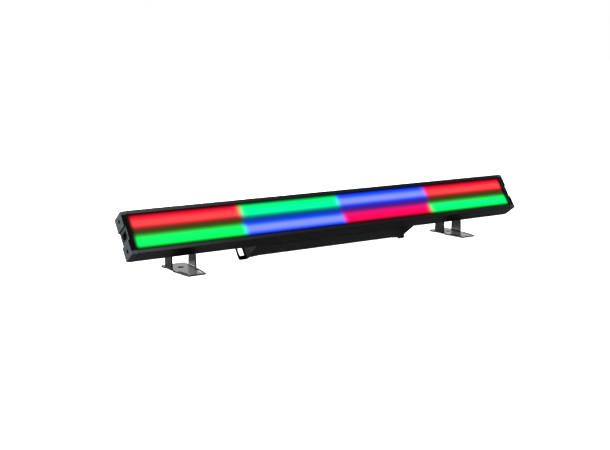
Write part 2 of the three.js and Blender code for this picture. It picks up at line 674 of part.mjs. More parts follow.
function frictionWasher() {
  const ring = rodX(10.5, EAR_OUTER + GAP, ARM_INNER - GAP, 0, 0, 16);
  return cut(ring, rodX(STUD_RADIUS + GAP, EAR_OUTER - 1, ARM_INNER + 1, 0, 0, 16));
}

// ---- Assembly ----
function housingPieces() {
  const pieces = [
    piece('housing_extrusion', 'blackAnodised', housingExtrusion()),
    piece('diffuser_panel', 'opalPlastic', diffuser()),
    piece('reflector_tray', 'whiteEnamel', reflectorTray()),
  ];
  ZONE_MIDDLES.forEach((x, index) => {
    pieces.push(piece(`led_board_${index + 1}`, 'whiteBoard', ledBoard(x)));
  });
  return pieces;
}

function endPieces(name) {
  const end = new THREE.Group();
  end.add(piece(`${name}_end_cap`, 'greyMoulding', endCap()));
  end.add(piece(`${name}_link_socket`, 'blackMoulding', linkSocket()));
  BOTH_SIDES.forEach((level, index) => {
    const screw = piece(`${name}_cap_screw_${index + 1}`, 'blackSteel', capScrew());
    screw.position.set(CAP_SCREW_SEAT - GAP, FACE + BOSS_DEPTH, level * BOSS_Z);
    end.add(screw);
  });
  return end;
}

function panelSocket(name, finish, geometry, side, z) {
  const socket = piece(name, finish, geometry);
  socket.position.set(side < 0 ? BOX_LEFT : BOX_RIGHT, SOCKET_Y, z);
  socket.rotation.z = side < 0 ? 0 : Math.PI;
  return socket;
}

function supplyBoxPieces() {
  const pieces = [
    piece('supply_box_shell', 'blackPowderCoat', supplyShell()),
    piece('supply_box_cover', 'blackPowderCoat', supplyCover()),
    piece('power_supply', 'zincSteel', powerSupply()),
    piece('control_board', 'greenBoard', controlBoard()),
    piece('display_window', 'smokedWindow', displayWindow()),
    piece('fuse_holder', 'blackMoulding', fuseHolder()),
    piece('fuse_cap', 'blackMoulding', fuseCap()),
    piece('cable_grommet', 'rubber', cableGrommet()),
    piece('wiring_loom', 'rubber', wiringLoom()),
    panelSocket('power_inlet', 'blueMoulding', powerSocket(), -1, POWER_Z),
    panelSocket('power_outlet', 'paleMoulding', powerSocket(), 1, POWER_Z),
    panelSocket('data_inlet', 'blackMoulding', dataInlet(), -1, DATA_Z),
    panelSocket('data_outlet', 'blackMoulding', dataOutlet(), 1, DATA_Z),
    panelSocket('data_outlet_latch', 'zincSteel', dataLatch(), 1, DATA_Z),
    piece('left_safety_eye', 'blackSteel', safetyEye(EYE_X[0], 1)),
    piece('right_safety_eye', 'blackSteel', safetyEye(EYE_X[1], -1)),
  ];
  BUTTON_X.forEach((x, index) => {
    pieces.push(piece(`menu_button_${index + 1}`, 'blackMoulding', menuButton(x)));
  });
  COVER_SCREW_X.forEach((x, column) => {
    BOTH_SIDES.forEach((level, row) => {
      const overPlate = level < 0;
      const screw = piece(`cover_screw_${2 * column + row + 1}`, 'blackSteel', coverScrew(overPlate));
      screw.position.set(x, BOX_BACK + GAP + (overPlate ? EYE_SHEET + GAP : 0), level * COVER_SCREW_Z);
      pieces.push(screw);
    });
  });
  return pieces;
}

function bracketPieces(name, x) {
  const pieces = [piece(`${name}_pivot_bracket`, 'blackPowderCoat', pivotBracket(x))];
  BOTH_SIDES.forEach((level, index) => {
    const screw = piece(`${name}_bracket_screw_${index + 1}`, 'blackSteel', bracketScrew());
    screw.position.set(x, BACK + GAP + EAR_SHEET + GAP, level * BRACKET_SCREW_Z);
    pieces.push(screw);
  });
  return pieces;
}

function footPieces(name, x) {
  const foot = new THREE.Group();
  foot.position.set(x, AXIS_Y, 0);
  foot.add(piece(`${name}_foot_bracket`, 'blackPowderCoat', footBracket()));
  for (const [side, turn] of [['outer', 0], ['inner', Math.PI]]) {
    const fixing = new THREE.Group();
    fixing.position.z = AXIS_HEIGHT;
    fixing.rotation.z = x > 0 ? turn : Math.PI - turn;
    fixing.add(piece(`${name}_${side}_knob_grip`, 'blackMoulding', knobGrip()));
    fixing.add(piece(`${name}_${side}_knob_stud`, 'zincSteel', knobStud()));
    fixing.add(piece(`${name}_${side}_friction_washer`, 'nylon', frictionWasher()));
    foot.add(fixing);
  }
  return foot;
}

const bar = new THREE.Group();
bar.position.set(0, AXIS_Y, AXIS_HEIGHT);
bar.rotation.x = -THREE.MathUtils.degToRad(TILT);
bar.add(...housingPieces(), ...supplyBoxPieces());
bar.add(...bracketPieces('left', -FOOT_X), ...bracketPieces('right', FOOT_X));
const leftEnd = endPieces('left');
const rightEnd = endPieces('right');
rightEnd.rotation.y = Math.PI;
bar.add(leftEnd, rightEnd);

const batten = new THREE.Group();
batten.add(bar, footPieces('left', -FOOT_X), footPieces('right', FOOT_X));

export default batten;
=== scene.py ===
"""The looks of an LED strip batten: a one-metre light bar on two tilting feet.

The CAD frame gives every place and joint. This script dresses the CAD nodes, and builds finer
pieces from numpy grids where a folded sheet, a turned part or a moulded grip needs its true form.
Three frames are used:
    row frame   metres, +X along the bar, -Y to the audience, +Z up, origin on the floor;
    bar frame   metres, origin on the tilt axis, x along the bar, y out of its back, z up its face;
    foot frame  metres, origin on the floor under the tilt axis, unturned.
"""

import json
import logging
import math
from dataclasses import dataclass, field
from enum import Enum
from typing import Iterable, Sequence

import bmesh
import bpy
import numpy as np
from mathutils import Matrix, Vector
from mathutils.geometry import tessellate_polygon


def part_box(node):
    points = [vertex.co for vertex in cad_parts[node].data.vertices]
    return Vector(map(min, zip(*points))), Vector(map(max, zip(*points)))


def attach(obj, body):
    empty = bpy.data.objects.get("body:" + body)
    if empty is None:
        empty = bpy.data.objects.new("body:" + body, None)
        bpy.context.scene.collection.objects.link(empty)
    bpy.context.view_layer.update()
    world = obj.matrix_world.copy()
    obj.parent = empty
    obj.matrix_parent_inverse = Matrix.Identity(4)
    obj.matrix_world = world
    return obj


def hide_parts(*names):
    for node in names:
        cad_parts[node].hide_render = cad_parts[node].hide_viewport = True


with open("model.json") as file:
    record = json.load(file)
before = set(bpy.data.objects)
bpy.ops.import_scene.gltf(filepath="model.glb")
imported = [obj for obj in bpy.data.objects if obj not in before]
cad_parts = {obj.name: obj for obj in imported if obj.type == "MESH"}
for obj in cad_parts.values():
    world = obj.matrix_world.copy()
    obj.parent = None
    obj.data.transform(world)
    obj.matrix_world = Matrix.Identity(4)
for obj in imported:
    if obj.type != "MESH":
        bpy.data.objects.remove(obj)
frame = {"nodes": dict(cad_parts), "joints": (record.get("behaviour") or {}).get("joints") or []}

LOG = logging.getLogger("batten")
MM = 0.001

Array = np.ndarray
Loop = np.ndarray


# ---- Places: the bar frame and the row frame ----


def joint_named(name: str) -> dict:
    """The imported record's joint of that name."""
    return next(joint for joint in frame["joints"] if joint["name"] == name)


@dataclass(frozen=True)
class Placement:
    """A way from a piece's own frame to the row frame: a 4 by 4 matrix."""

    matrix: Matrix

    def __matmul__(self, other: "Placement") -> "Placement":
        """This placement applied after the other one."""
        return Placement(self.matrix @ other.matrix)

    def apply(self, points: Array) -> Array:
        """Points taken through the matrix, as an array of rows x, y, z."""
        matrix = np.array(self.matrix)
        return points @ matrix[:3, :3].T + matrix[:3, 3]

    def undo(self, points: Array) -> Array:
        """Points taken back from the row frame."""
        return Placement(self.matrix.inverted()).apply(points)

    @classmethod
    def at(cls, x: float = 0, y: float = 0, z: float = 0) -> "Placement":
        """A plain move, in metres."""
        return cls(Matrix.Translation((x, y, z)))

    @classmethod
    def turned(cls, degrees: float, axis: str) -> "Placement":
        """A turn about one axis of the frame."""
        return cls(Matrix.Rotation(math.radians(degrees), 4, axis))

    @classmethod
    def axes(cls, first: str, second: str, third: str) -> "Placement":
        """Sends a piece's first, second and third axis to the named ones, such as '+Z'."""
        matrix = Matrix.Identity(4)
        for column, name in enumerate((first, second, third)):
            matrix.col[column] = [0, 0, 0, 0]
            matrix[["X", "Y", "Z"].index(name[1])][column] = -1 if name[0] == "-" else 1
        return cls(matrix)


def bar_placement() -> Placement:
    """From the bar frame to the row frame: a turn of the tilt angle about the feet's hinge axis."""
    _, y, z = joint_named("left_foot_tilt")["pos_m"]
    _, inward, upward = joint_named("menu_button_1_press")["axis"]
    tilt = math.degrees(math.atan2(upward, -inward))
    return Placement.at(0, y, z) @ Placement.turned(-tilt, "X")


def outward(side: int) -> Placement:
    """A frame whose w points out of the bar's right end, for side 1, or its left end, for side -1."""
    return Placement.axes("+Y", "+Z", "+X") if side > 0 else Placement.axes("-Y", "+Z", "-X")


BAR = bar_placement()
ALONG_X = outward(1)
ALONG_Y = Placement.axes("+Z", "+X", "+Y")
SIDES = {"left": -1, "right": 1}


def bar_box(node: str) -> tuple[Array, Array]:
    """A CAD node's lowest and highest corner in the bar frame, in metres."""
    mesh = frame["nodes"][node].data
    points = np.empty(len(mesh.vertices) * 3, np.float32)
    mesh.vertices.foreach_get("co", points)
    local = BAR.undo(points.reshape(-1, 3).astype(float))
    return local.min(0), local.max(0)


# ---- Outlines: closed loops of points in a plane, counter-clockwise ----


def circle(radius: float, middle: Sequence[float] = (0, 0), steps: int = 32) -> Loop:
    """A circle: middle + radius (cos a, sin a), for a over a whole turn."""
    angle = np.linspace(0, 2 * np.pi, steps, endpoint=False)
    return np.array(middle) + radius * np.stack([np.cos(angle), np.sin(angle)], 1)


def rounded(corners: Iterable[Sequence[float]], steps: int = 5) -> Loop:
    """An outline through corners (u, v, radius), each rounded by an arc that meets both sides.

    The arc's centre lies on the corner's bisector, radius / sin(half angle) from the corner, and
    its points turn evenly from one tangent point to the other.

    Args:
        corners: the corners in order, each with its own radius.
        steps: spans of one arc.

    Returns:
        The outline's points, one row each.
    """
    points = np.array(list(corners), float)
    spots, radii = points[:, :2], points[:, 2]
    pieces = []
    for index, (spot, radius) in enumerate(zip(spots, radii)):
        if radius <= 0:
            pieces.append(spot[None])
            continue
        back = spots[index - 1] - spot
        ahead = spots[(index + 1) % len(spots)] - spot
        back, ahead = back / np.linalg.norm(back), ahead / np.linalg.norm(ahead)
        half = math.acos(np.clip(back @ ahead, -1, 1)) / 2
        bisector = (back + ahead) / np.linalg.norm(back + ahead)
        centre = spot + bisector * radius / math.sin(half)
        reach = radius / math.tan(half)
        first, last = spot + back * reach - centre, spot + ahead * reach - centre
        start = math.atan2(first[1], first[0])
        turn = (math.atan2(last[1], last[0]) - start + math.pi) % (2 * math.pi) - math.pi
        angle = start + turn * np.linspace(0, 1, steps + 1)
        pieces.append(centre + radius * np.stack([np.cos(angle), np.sin(angle)], 1))
    return np.concatenate(pieces)


def rectangle(u0: float, u1: float, v0: float, v1: float, radius: float = 0, steps: int = 5) -> Loop:
    """A rectangle with its corners rounded alike."""
    return rounded([(u0, v0, radius), (u1, v0, radius), (u1, v1, radius), (u0, v1, radius)], steps)


def inset(loop: Loop, distance: float) -> Loop:
    """The loop moved inwards: each point along its mitre, which is the sum of its sides' normals
    divided by one plus their dot product, times the distance.

    Args:
        loop: the outline, counter-clockwise.
        distance: how far its sides move, which is negative to grow it.

    Returns:
        The moved outline, point for point.
    """
    side = np.roll(loop, -1, 0) - loop
    side /= np.maximum(np.linalg.norm(side, axis=1), 1e-12)[:, None]
    normal = np.stack([-side[:, 1], side[:, 0]], 1)
    before = np.roll(normal, 1, 0)
    share = np.maximum(1 + (normal * before).sum(1), 0.3)
    return loop + (normal + before) / share[:, None] * distance


# ---- Shells: points and faces, worked out as whole arrays ----


@dataclass
class Shell:
    """A surface: rows of x, y, z in metres, and faces as lists of row numbers."""

    points: Array
    faces: list

    def placed(self, placement: Placement) -> "Shell":
        """The same surface through a placement."""
        return Shell(placement.apply(self.points), self.faces)

    def __add__(self, other: "Shell") -> "Shell":
        """Both surfaces as one."""
        shift = len(self.points)
        moved = [[corner + shift for corner in face] for face in other.faces]
        return Shell(np.concatenate([self.points, other.points]), self.faces + moved)


def joined(shells: Iterable[Shell]) -> Shell:
    """Several surfaces as one."""
    first, *rest = list(shells)
    for shell in rest:
        first = first + shell
    return first


def grid_faces(rows: int, columns: int, start: int = 0) -> list:
    """Quads between neighbouring rows of a grid whose columns close on themselves.

    Args:
        rows: how many rows of points the grid has.
        columns: how many points a row has.
        start: the number of the grid's first point.

    Returns:
        The faces, as lists of four point numbers.
    """
    row = np.arange(rows - 1)[:, None]
    column = np.arange(columns)[None, :]
    after = (column + 1) % columns
    corners = [row * columns + column, row * columns + after]
    corners += [(row + 1) * columns + after, (row + 1) * columns + column]
    return (np.stack(corners, -1).reshape(-1, 4) + start).tolist()


def capped_grid(points: Array, columns: int) -> Shell:
    """A grid of closed rings, all of so many points, with a face over its first and last ring."""
    first, last = list(range(columns)), list(range(len(points) - columns, len(points)))
    return Shell(points, grid_faces(len(points) // columns, columns) + [first[::-1], last])


def slab(
    outline: Loop,
    low: float,
    high: float,
    edge: float = 0.3 * MM,
    holes: Sequence[Loop] = (),
    edge_steps: int = 2,
) -> Shell:
    """A plate with rounded edges: each loop carried up a wall whose ends are quarter rounds.

    At step t of a quarter round the loop is inset by edge (1 - sin t) and lies edge (1 - cos t)
    from the end face. Both end faces are filled between the outline and the holes.

    Args:
        outline: the plate's outline, counter-clockwise, in (u, v).
        low: height of the lower face along w.
        high: height of the upper face.
        edge: radius of the rounded edges.
        holes: outlines of the openings, counter-clockwise too.
        edge_steps: spans of a quarter round.

    Returns:
        The closed surface in (u, v, w).
    """
    quarter = np.linspace(0, np.pi / 2, edge_steps + 1)
    depths = np.concatenate([edge * (1 - np.sin(quarter)), edge * (1 - np.cos(quarter))])
    heights = np.concatenate([low + edge * (1 - np.cos(quarter)), high - edge * (1 - np.sin(quarter))])
    points, faces, ends = [], [], ([], [])
    start = 0
    for number, loop in enumerate([outline, *holes]):
        inward = 1 if number == 0 else -1
        rings = np.stack([
            np.column_stack([inset(loop, inward * depth), np.full(len(loop), height)])
            for depth, height in zip(depths, heights)
        ])
        points.append(rings.reshape(-1, 3))
        faces += grid_faces(len(rings), len(loop), start)
        ends[0].append((start, rings[0]))
        ends[1].append((start + (len(rings) - 1) * len(loop), rings[-1]))
        start += rings.shape[0] * rings.shape[1]
    for end in ends:
        numbers = [first + index for first, ring in end for index in range(len(ring))]
        triangles = tessellate_polygon([[Vector(point) for point in ring] for _, ring in end])
        faces += [[numbers[corner] for corner in triangle] for triangle in triangles]
    return Shell(np.concatenate(points), faces)


def turned(profile: Loop, steps: int = 32, lobes: int = 0, depth: float = 0) -> Shell:
    """A turned part: (r cos a, r sin a, h) for each (r, h) of the profile and each angle a.

    With lobes, the radius is r + depth cos(lobes a) wherever r is over half the largest radius.

    Args:
        profile: radius and height pairs, from the axis back to the axis, or a ring's closed section.
        steps: spans of a whole turn.
        lobes: how many lobes a hand grip has.
        depth: how far a lobe stands out.

    Returns:
        The closed surface, with its axis along w.
    """
    section = profile
    if section[0, 0] > 0:
        section = np.concatenate([section, section[:1]])
    angle = np.linspace(0, 2 * np.pi, steps, endpoint=False)[None, :]
    radius = section[:, :1] + np.zeros_like(angle)
    share = np.clip(2 * section[:, :1] / section[:, 0].max() - 1, 0, 1)
    radius = radius + depth * share * np.cos(lobes * angle)
    height = section[:, 1:] + np.zeros_like(angle)
    points = np.stack([radius * np.cos(angle), radius * np.sin(angle), height], -1)
    return Shell(points.reshape(-1, 3), grid_faces(len(section), steps))


def disc(radius: float, low: float, high: float, edge: float, steps: int = 32) -> Shell:
    """A round rod or disc with rounded rims."""
    corners = [(0, low, 0), (radius, low, edge), (radius, high, edge), (0, high, 0)]
    return turned(rounded(corners, 4), steps)


# ---- Folded sheet: a flat blank, cut out and then bent along straight lines ----


@dataclass(frozen=True)
class Run:
    """One stretch of a folded sheet: straight for its length, then an optional bend."""

    length: float
    radius: float = 0
    degrees: float = 0


@dataclass(frozen=True)
class FoldedSheet:
    """A sheet bent along lines across its blank. u runs along the blank, measured on its middle.

    A blank's point (u, v, w) goes to p(u) + n(u) (w - thickness / 2), where p is the folded middle
    line and n its normal: a straight run moves p ahead, and a bend turns p about its own centre.
    Where |v| is over tab_half, the blank stays flat with the run numbered flat_run.
    """

    runs: tuple[Run, ...]
    thickness: float
    bend_steps: int = 6
    heading: float = 0
    flat_run: int = -1
    tab_half: float = math.inf

    def bends(self) -> list[tuple[float, float, Array, float, Run]]:
        """Each run as (start, end, place, heading, run), its bend counted as part of it."""
        found = []
        place, heading, start = np.zeros(2), math.radians(self.heading), 0.0
        for run in self.runs:
            turn = math.radians(run.degrees)
            curved = abs(turn) * (run.radius + self.thickness / 2)
            found.append((start, start + run.length + curved, place, heading, run))
            place = self.along(found[-1], np.array([run.length + curved]))[0][0]
            heading += turn
            start += run.length + curved
        return found

    def along(self, bend: tuple, distance: Array) -> tuple[Array, Array]:
        """The folded middle line's places and normals at distances into one run."""
        _, _, place, heading, run = bend
        radius = run.radius + self.thickness / 2
        sign = math.copysign(1, run.degrees)
        straight = np.minimum(distance, run.length)
        angle = np.maximum(distance - run.length, 0) / radius
        ahead = np.array([math.cos(heading), math.sin(heading)])
        left = np.array([-ahead[1], ahead[0]])
        spot = place + straight[:, None] * ahead
        spot = spot + radius * (np.sin(angle)[:, None] * ahead + sign * (1 - np.cos(angle))[:, None] * left)
        normal = np.cos(angle)[:, None] * left - sign * np.sin(angle)[:, None] * ahead
        return spot, normal

    def stations(self) -> list[float]:
        """Where the blank is cut into strips, so that its bends come out round."""
        places = []
        for start, end, _, _, run in self.bends():
            if run.degrees:
                places += np.linspace(start + run.length, end, self.bend_steps + 1).tolist()
        return places

    def length(self) -> float:
        """The blank's length."""
        return self.bends()[-1][1]

    def fold(self, blank: Shell) -> Shell:
        """The blank, cut into strips at every bend and folded.

        Args:
            blank: a slab in (u, v, w), with w from 0 to the sheet's thickness.

        Returns:
            The folded surface in (across, v, up), with the first run lying along the first axis.
        """
        work = bmesh.new()
        mesh = bpy.data.meshes.new("blank")
        mesh.from_pydata(blank.points.tolist(), [], blank.faces)
        work.from_mesh(mesh)
        for station in self.stations():
            geometry = work.verts[:] + work.edges[:] + work.faces[:]
            bmesh.ops.bisect_plane(work, geom=geometry, plane_co=(station, 0, 0), plane_no=(1, 0, 0))
        points = np.array([vertex.co for vertex in work.verts])
        work.verts.index_update()
        faces = [[vertex.index for vertex in face.verts] for face in work.faces]
        work.free()
        bpy.data.meshes.remove(mesh)
        folded = np.zeros_like(points)
        for bend in self.bends():
            start, end = bend[:2]
            here = (points[:, 0] >= start - 1e-9) & (points[:, 0] <= end + 1e-9)
            spot, normal = self.along(bend, points[here, 0] - start)
            flat = spot + normal * (points[here, 2:] - self.thickness / 2)
            folded[here] = np.column_stack([flat[:, 0], points[here, 1], flat[:, 1]])
        if self.flat_run >= 0:
            start, _, place, heading, _ = self.bends()[self.flat_run]
            flat = np.abs(points[:, 1]) > self.tab_half
            ahead = np.array([math.cos(heading), math.sin(heading)])
            spot = place + (points[flat, :1] - start) * ahead
            spot = spot + (points[flat, 2:] - self.thickness / 2) * np.array([-ahead[1], ahead[0]])
            folded[flat] = np.column_stack([spot[:, 0], points[flat, 1], spot[:, 1]])
        return Shell(folded, faces)


# ---- Finishes ----


def linear(code: str) -> tuple[float, float, float, float]:
    """An sRGB hex value as linear light, with full alpha."""
    parts = [int(code[index:index + 2], 16) / 255 for index in (0, 2, 4)]
    return tuple(c / 12.92 if c <= 0.04045 else ((c + 0.055) / 1.055) ** 2.4 for c in parts) + (1.0,)


COLOUR_MIX = {"data_type": "RGBA"}


def add_node(
    tree: bpy.types.NodeTree, kind: str, settings: dict | None = None, **inputs: object
) -> bpy.types.Node:
    """Adds a shader node.

    Args:
        tree: the material's node tree.
        kind: the node's class name.
        settings: the node's own properties, by name.
        inputs: socket values by name, with _ for a space, or by number, such as n0. A value that
            is an output socket is linked.

    Returns:
        The new node.
    """
    node = tree.nodes.new(kind)
    for name, value in (settings or {}).items():
        setattr(node, name, value)
    for name, value in inputs.items():
        number = name[1:] if name[0] == "n" and name[1:].isdigit() else None
        socket = node.inputs[int(number)] if number else node.inputs[name.replace("_", " ")]
        if isinstance(value, bpy.types.NodeSocket):
            tree.links.new(value, socket)
        else:
            socket.default_value = value
    return node


class Surface(Enum):
    """How a surface was made, which settles the shape of its grain."""

    CAST_SPECKLE = "moulded or coated: grains alike in every direction"
    DRAWN = "drawn through a die: lines along the bar"
    ROLLED = "rolled sheet: faint lines along the bar over fine grains"
    POLISHED = "smooth: only faint waves"


@dataclass(frozen=True)
class Finish:
    """A procedural material: two near colours, a grain of real size, and broad wear."""

    name: str
    colour: str
    accent: str
    roughness: float
    metallic: float = 0.0
    specular: float = 0.5
    surface: Surface = Surface.CAST_SPECKLE
    grain_mm: float = 0.8
    bump_mm: float = 0.02
    spread: float = 0.08
    patch_mm: float = 40.0
    coat: float = 0.0
    wear: float = 0.0
    wear_colour: str = "8a8c90"
    # The next three set a front-facing strip of painted shade, near black and rougher: its half-height, tone
    # and roughness. A half-height of 0 leaves it out.
    shaded_strip_half: float = 0.0
    shaded_strip_tone: str = "050506"
    shaded_strip_roughness: float = 0.95

    def grain_scale(self) -> tuple[float, float, float]:
        """The grain pattern's stretch along x, y and z."""
        if self.surface is Surface.DRAWN:
            return (0.012, 1.0, 1.0)
        if self.surface is Surface.ROLLED:
            return (0.12, 1.0, 1.0)
        return (1.0, 1.0, 1.0)

    def material(self) -> bpy.types.Material:
        """The finished material, made once and then shared."""
        known = bpy.data.materials.get(self.name)
        if known:
            return known
        material = bpy.data.materials.new(self.name)
        material.use_nodes = True
        tree = material.node_tree
        tree.nodes.clear()
        place = add_node(tree, "ShaderNodeTexCoord").outputs["Object"]
        stretched = add_node(tree, "ShaderNodeMapping", Vector=place, Scale=self.grain_scale()).outputs[0]
        size = self.grain_mm * MM
        grain = add_node(
            tree, "ShaderNodeTexNoise", Vector=stretched, Scale=1 / size, Detail=3.0, Roughness=0.6
        ).outputs["Fac"]
        patches = add_node(
            tree, "ShaderNodeTexNoise", Vector=place, Scale=1 / (self.patch_mm * MM), Detail=4.0
        ).outputs["Fac"]
        sums = {"operation": "MULTIPLY_ADD"}
        share = add_node(tree, "ShaderNodeMath", sums, n0=grain, n1=0.55, n2=-0.05).outputs[0]
        share = add_node(tree, "ShaderNodeMath", sums, n0=patches, n1=0.55, n2=share).outputs[0]
        colours = {"n6": linear(self.colour), "n7": linear(self.accent)}
        tone = add_node(tree, "ShaderNodeMix", COLOUR_MIX, Factor=share, **colours).outputs[2]
        if self.wear:
            tone = self.worn(tree, tone)
        # Painted shade: faces that turn to the bar's front beside the window are mixed to a near-black tone.
        shaded_strip = self.shaded_strip(tree, place) if self.shaded_strip_half else None
        if shaded_strip:
            shaded_strip_tone = linear(self.shaded_strip_tone)
            tone = add_node(tree, "ShaderNodeMix", COLOUR_MIX, Factor=shaded_strip, n6=tone, n7=shaded_strip_tone).outputs[2]
        smoothest = max(self.roughness - self.spread, 0.02)
        rough = add_node(
            tree, "ShaderNodeMapRange", Value=share, To_Min=smoothest, To_Max=self.roughness + self.spread
        ).outputs["Result"]
        # Painted shade: the same strip is made rougher, so that it shows no sheen.
        if shaded_strip:
            rough = add_node(
                tree, "ShaderNodeMix", {"data_type": "FLOAT"}, Factor=shaded_strip, n2=rough, n3=self.shaded_strip_roughness
            ).outputs[0]
        bump = add_node(
            tree, "ShaderNodeBump", Strength=0.6, Distance=self.bump_mm * MM, Height=grain
        ).outputs["Normal"]
        shader = add_node(tree, "ShaderNodeBsdfPrincipled", Base_Color=tone, Roughness=rough, Normal=bump)
        shader.inputs["Metallic"].default_value = self.metallic
        shader.inputs["Specular IOR Level"].default_value = self.specular
        shader.inputs["Coat Weight"].default_value = self.coat
        shader.inputs["Coat Roughness"].default_value = 0.12
        add_node(tree, "ShaderNodeOutputMaterial", Surface=shader.outputs["BSDF"])
        return material

    def worn(self, tree: bpy.types.NodeTree, tone: bpy.types.NodeSocket) -> bpy.types.NodeSocket:
        """The tone with rubbed high edges: Geometry's pointiness, broken up by noise."""
        pointed = add_node(tree, "ShaderNodeNewGeometry").outputs["Pointiness"]
        edge = add_node(
            tree, "ShaderNodeMapRange", Value=pointed, From_Min=0.53, From_Max=0.6, To_Max=self.wear
        ).outputs["Result"]
        rubbed = linear(self.wear_colour)
        return add_node(tree, "ShaderNodeMix", COLOUR_MIX, Factor=edge, n6=tone, n7=rubbed).outputs[2]

    def shaded_strip(self, tree: bpy.types.NodeTree, place: bpy.types.NodeSocket) -> bpy.types.NodeSocket:
        """1 on the strip beside the window that is painted near black as shade, and 0 elsewhere: where the
        normal is within 25 degrees of the bar's front and the height up the face is under the strip's
        half-height."""
        turn = BAR.matrix.to_3x3()
        front, up = turn @ Vector((0, -1, 0)), turn @ Vector((0, 0, 1))
        kind, dot = "ShaderNodeVectorMath", {"operation": "DOT_PRODUCT"}
        normal = add_node(tree, "ShaderNodeTexCoord").outputs["Normal"]
        facing = add_node(tree, kind, dot, n0=normal, n1=front).outputs["Value"]
        origin = BAR.matrix.translation
        local = add_node(tree, kind, {"operation": "SUBTRACT"}, n0=place, n1=origin).outputs[0]
        height = add_node(tree, kind, dot, n0=local, n1=up).outputs["Value"]
        height = add_node(tree, "ShaderNodeMath", {"operation": "ABSOLUTE"}, n0=height).outputs[0]
        below = {"operation": "LESS_THAN"}
        level = add_node(tree, "ShaderNodeMath", below, n0=height, n1=self.shaded_strip_half).outputs[0]
        return add_node(
            tree, "ShaderNodeMapRange", Value=facing, From_Min=0.88, From_Max=0.92, To_Max=level
        ).outputs["Result"]


# Aluminium drawn through a die, then etched and dyed black: a soft sheen with faint lines along it.
ANODISED = Finish(
    "anodised_aluminium", "0c0c0e", "151517", 0.32, specular=0.26, surface=Surface.DRAWN,
    grain_mm=0.9, bump_mm=0.012, patch_mm=60,
)
# Polyester powder baked on steel: a fine orange peel. The peel is drawn at 1.4 mm so that it shows.
POWDER_COAT = Finish(
    "black_powder_coat", "101012", "1a1a1c", 0.36, specular=0.35, grain_mm=1.4, bump_mm=0.02,
    patch_mm=30, wear=0.2, wear_colour="3a3b3d",
)
# Gloss black enamel, sprayed on the bent feet and stoved: nearly smooth, with broad faint waves.
FOOT_ENAMEL = Finish(
    "gloss_black_enamel", "151516", "202022", 0.27, specular=0.45, grain_mm=2.2, bump_mm=0.003,
    spread=0.03, patch_mm=25, wear=0.15, wear_colour="3a3b3d",
)
# ABS from a spark-eroded mould: an even matt grain. Its grey, lighter than the metal beside it, is painted
# side light on the end faces, and the front-facing strip beside the window is painted shade, near black and
# rougher.
CAP_ABS = Finish(
    "moulded_abs_painted_light", "31363a", "40454a", 0.38, specular=0.15, grain_mm=0.7, bump_mm=0.02,
    patch_mm=18, wear=0.3, wear_colour="6c7173", shaded_strip_half=38.2 * MM,
)
# Glass-filled nylon, moulded black: slightly mottled and matt.
BLACK_NYLON = Finish(
    "moulded_black_nylon", "121213", "1c1c1e", 0.5, specular=0.45, grain_mm=0.6, bump_mm=0.025,
    patch_mm=12,
)
# Alloy steel, blackened in a hot bath: dark, with an oily sheen.
BLACK_OXIDE = Finish(
    "black_oxide_steel", "18181a", "2a2a2d", 0.34, metallic=0.85, surface=Surface.ROLLED,
    grain_mm=0.5, bump_mm=0.01, patch_mm=6, wear=0.35,
)
# Steel, zinc plated and clear passivated: bright, with a slightly clouded tone.
ZINC_PLATE = Finish(
    "zinc_plated_steel", "a9adb3", "c3c6ca", 0.3, metallic=1.0, surface=Surface.ROLLED,
    grain_mm=0.6, bump_mm=0.008, patch_mm=8,
)
# Aluminium sheet stove-enamelled white, to throw the light forward.
WHITE_ENAMEL = Finish(
    "white_stove_enamel", "e6e6e0", "f4f4f0", 0.45, grain_mm=1.2, bump_mm=0.01, patch_mm=50,
)
# Metal-core board with a white solder mask.
WHITE_MASK = Finish(
    "white_solder_mask", "e4e5e0", "f2f2ee", 0.35, grain_mm=0.5, bump_mm=0.006, patch_mm=20, coat=0.2,
)
# Woven glass and epoxy board under a green solder mask.
GREEN_MASK = Finish(
    "green_solder_mask", "12492c", "1d6a41", 0.35, grain_mm=0.9, bump_mm=0.02, patch_mm=14, coat=0.3,
)
# Natural nylon, punched from sheet.
NATURAL_NYLON = Finish(
    "natural_nylon", "cfcbbf", "dedbd1", 0.5, grain_mm=0.5, bump_mm=0.01, patch_mm=6,
)
# Polyester for mains inlets, moulded blue, and for mains outlets, moulded pale grey.
BLUE_PBT = Finish("moulded_blue_pbt", "1d4a8c", "2a5fa6", 0.4, grain_mm=0.5, bump_mm=0.015, patch_mm=9)
GREY_PBT = Finish("moulded_grey_pbt", "8d9196", "a1a5a9", 0.4, grain_mm=0.5, bump_mm=0.015, patch_mm=9)
# Contacts, turned from brass and flashed with gold.
GOLD_FLASH = Finish(
    "gold_flashed_brass", "c79a45", "ddb463", 0.25, metallic=1.0, grain_mm=0.3, bump_mm=0.004, patch_mm=3,
)
# Soft vulcanised rubber and the loom's sleeve.
RUBBER = Finish("soft_black_rubber", "101010", "1b1b1b", 0.75, grain_mm=0.8, bump_mm=0.04, patch_mm=10)
# Smoked acrylic, cast and polished.
SMOKED_ACRYLIC = Finish(
    "smoked_acrylic", "07090c", "0c0f14", 0.08, surface=Surface.POLISHED, grain_mm=9, bump_mm=0.002,
    patch_mm=30, coat=0.5,
)


# ---- Making and dressing pieces ----


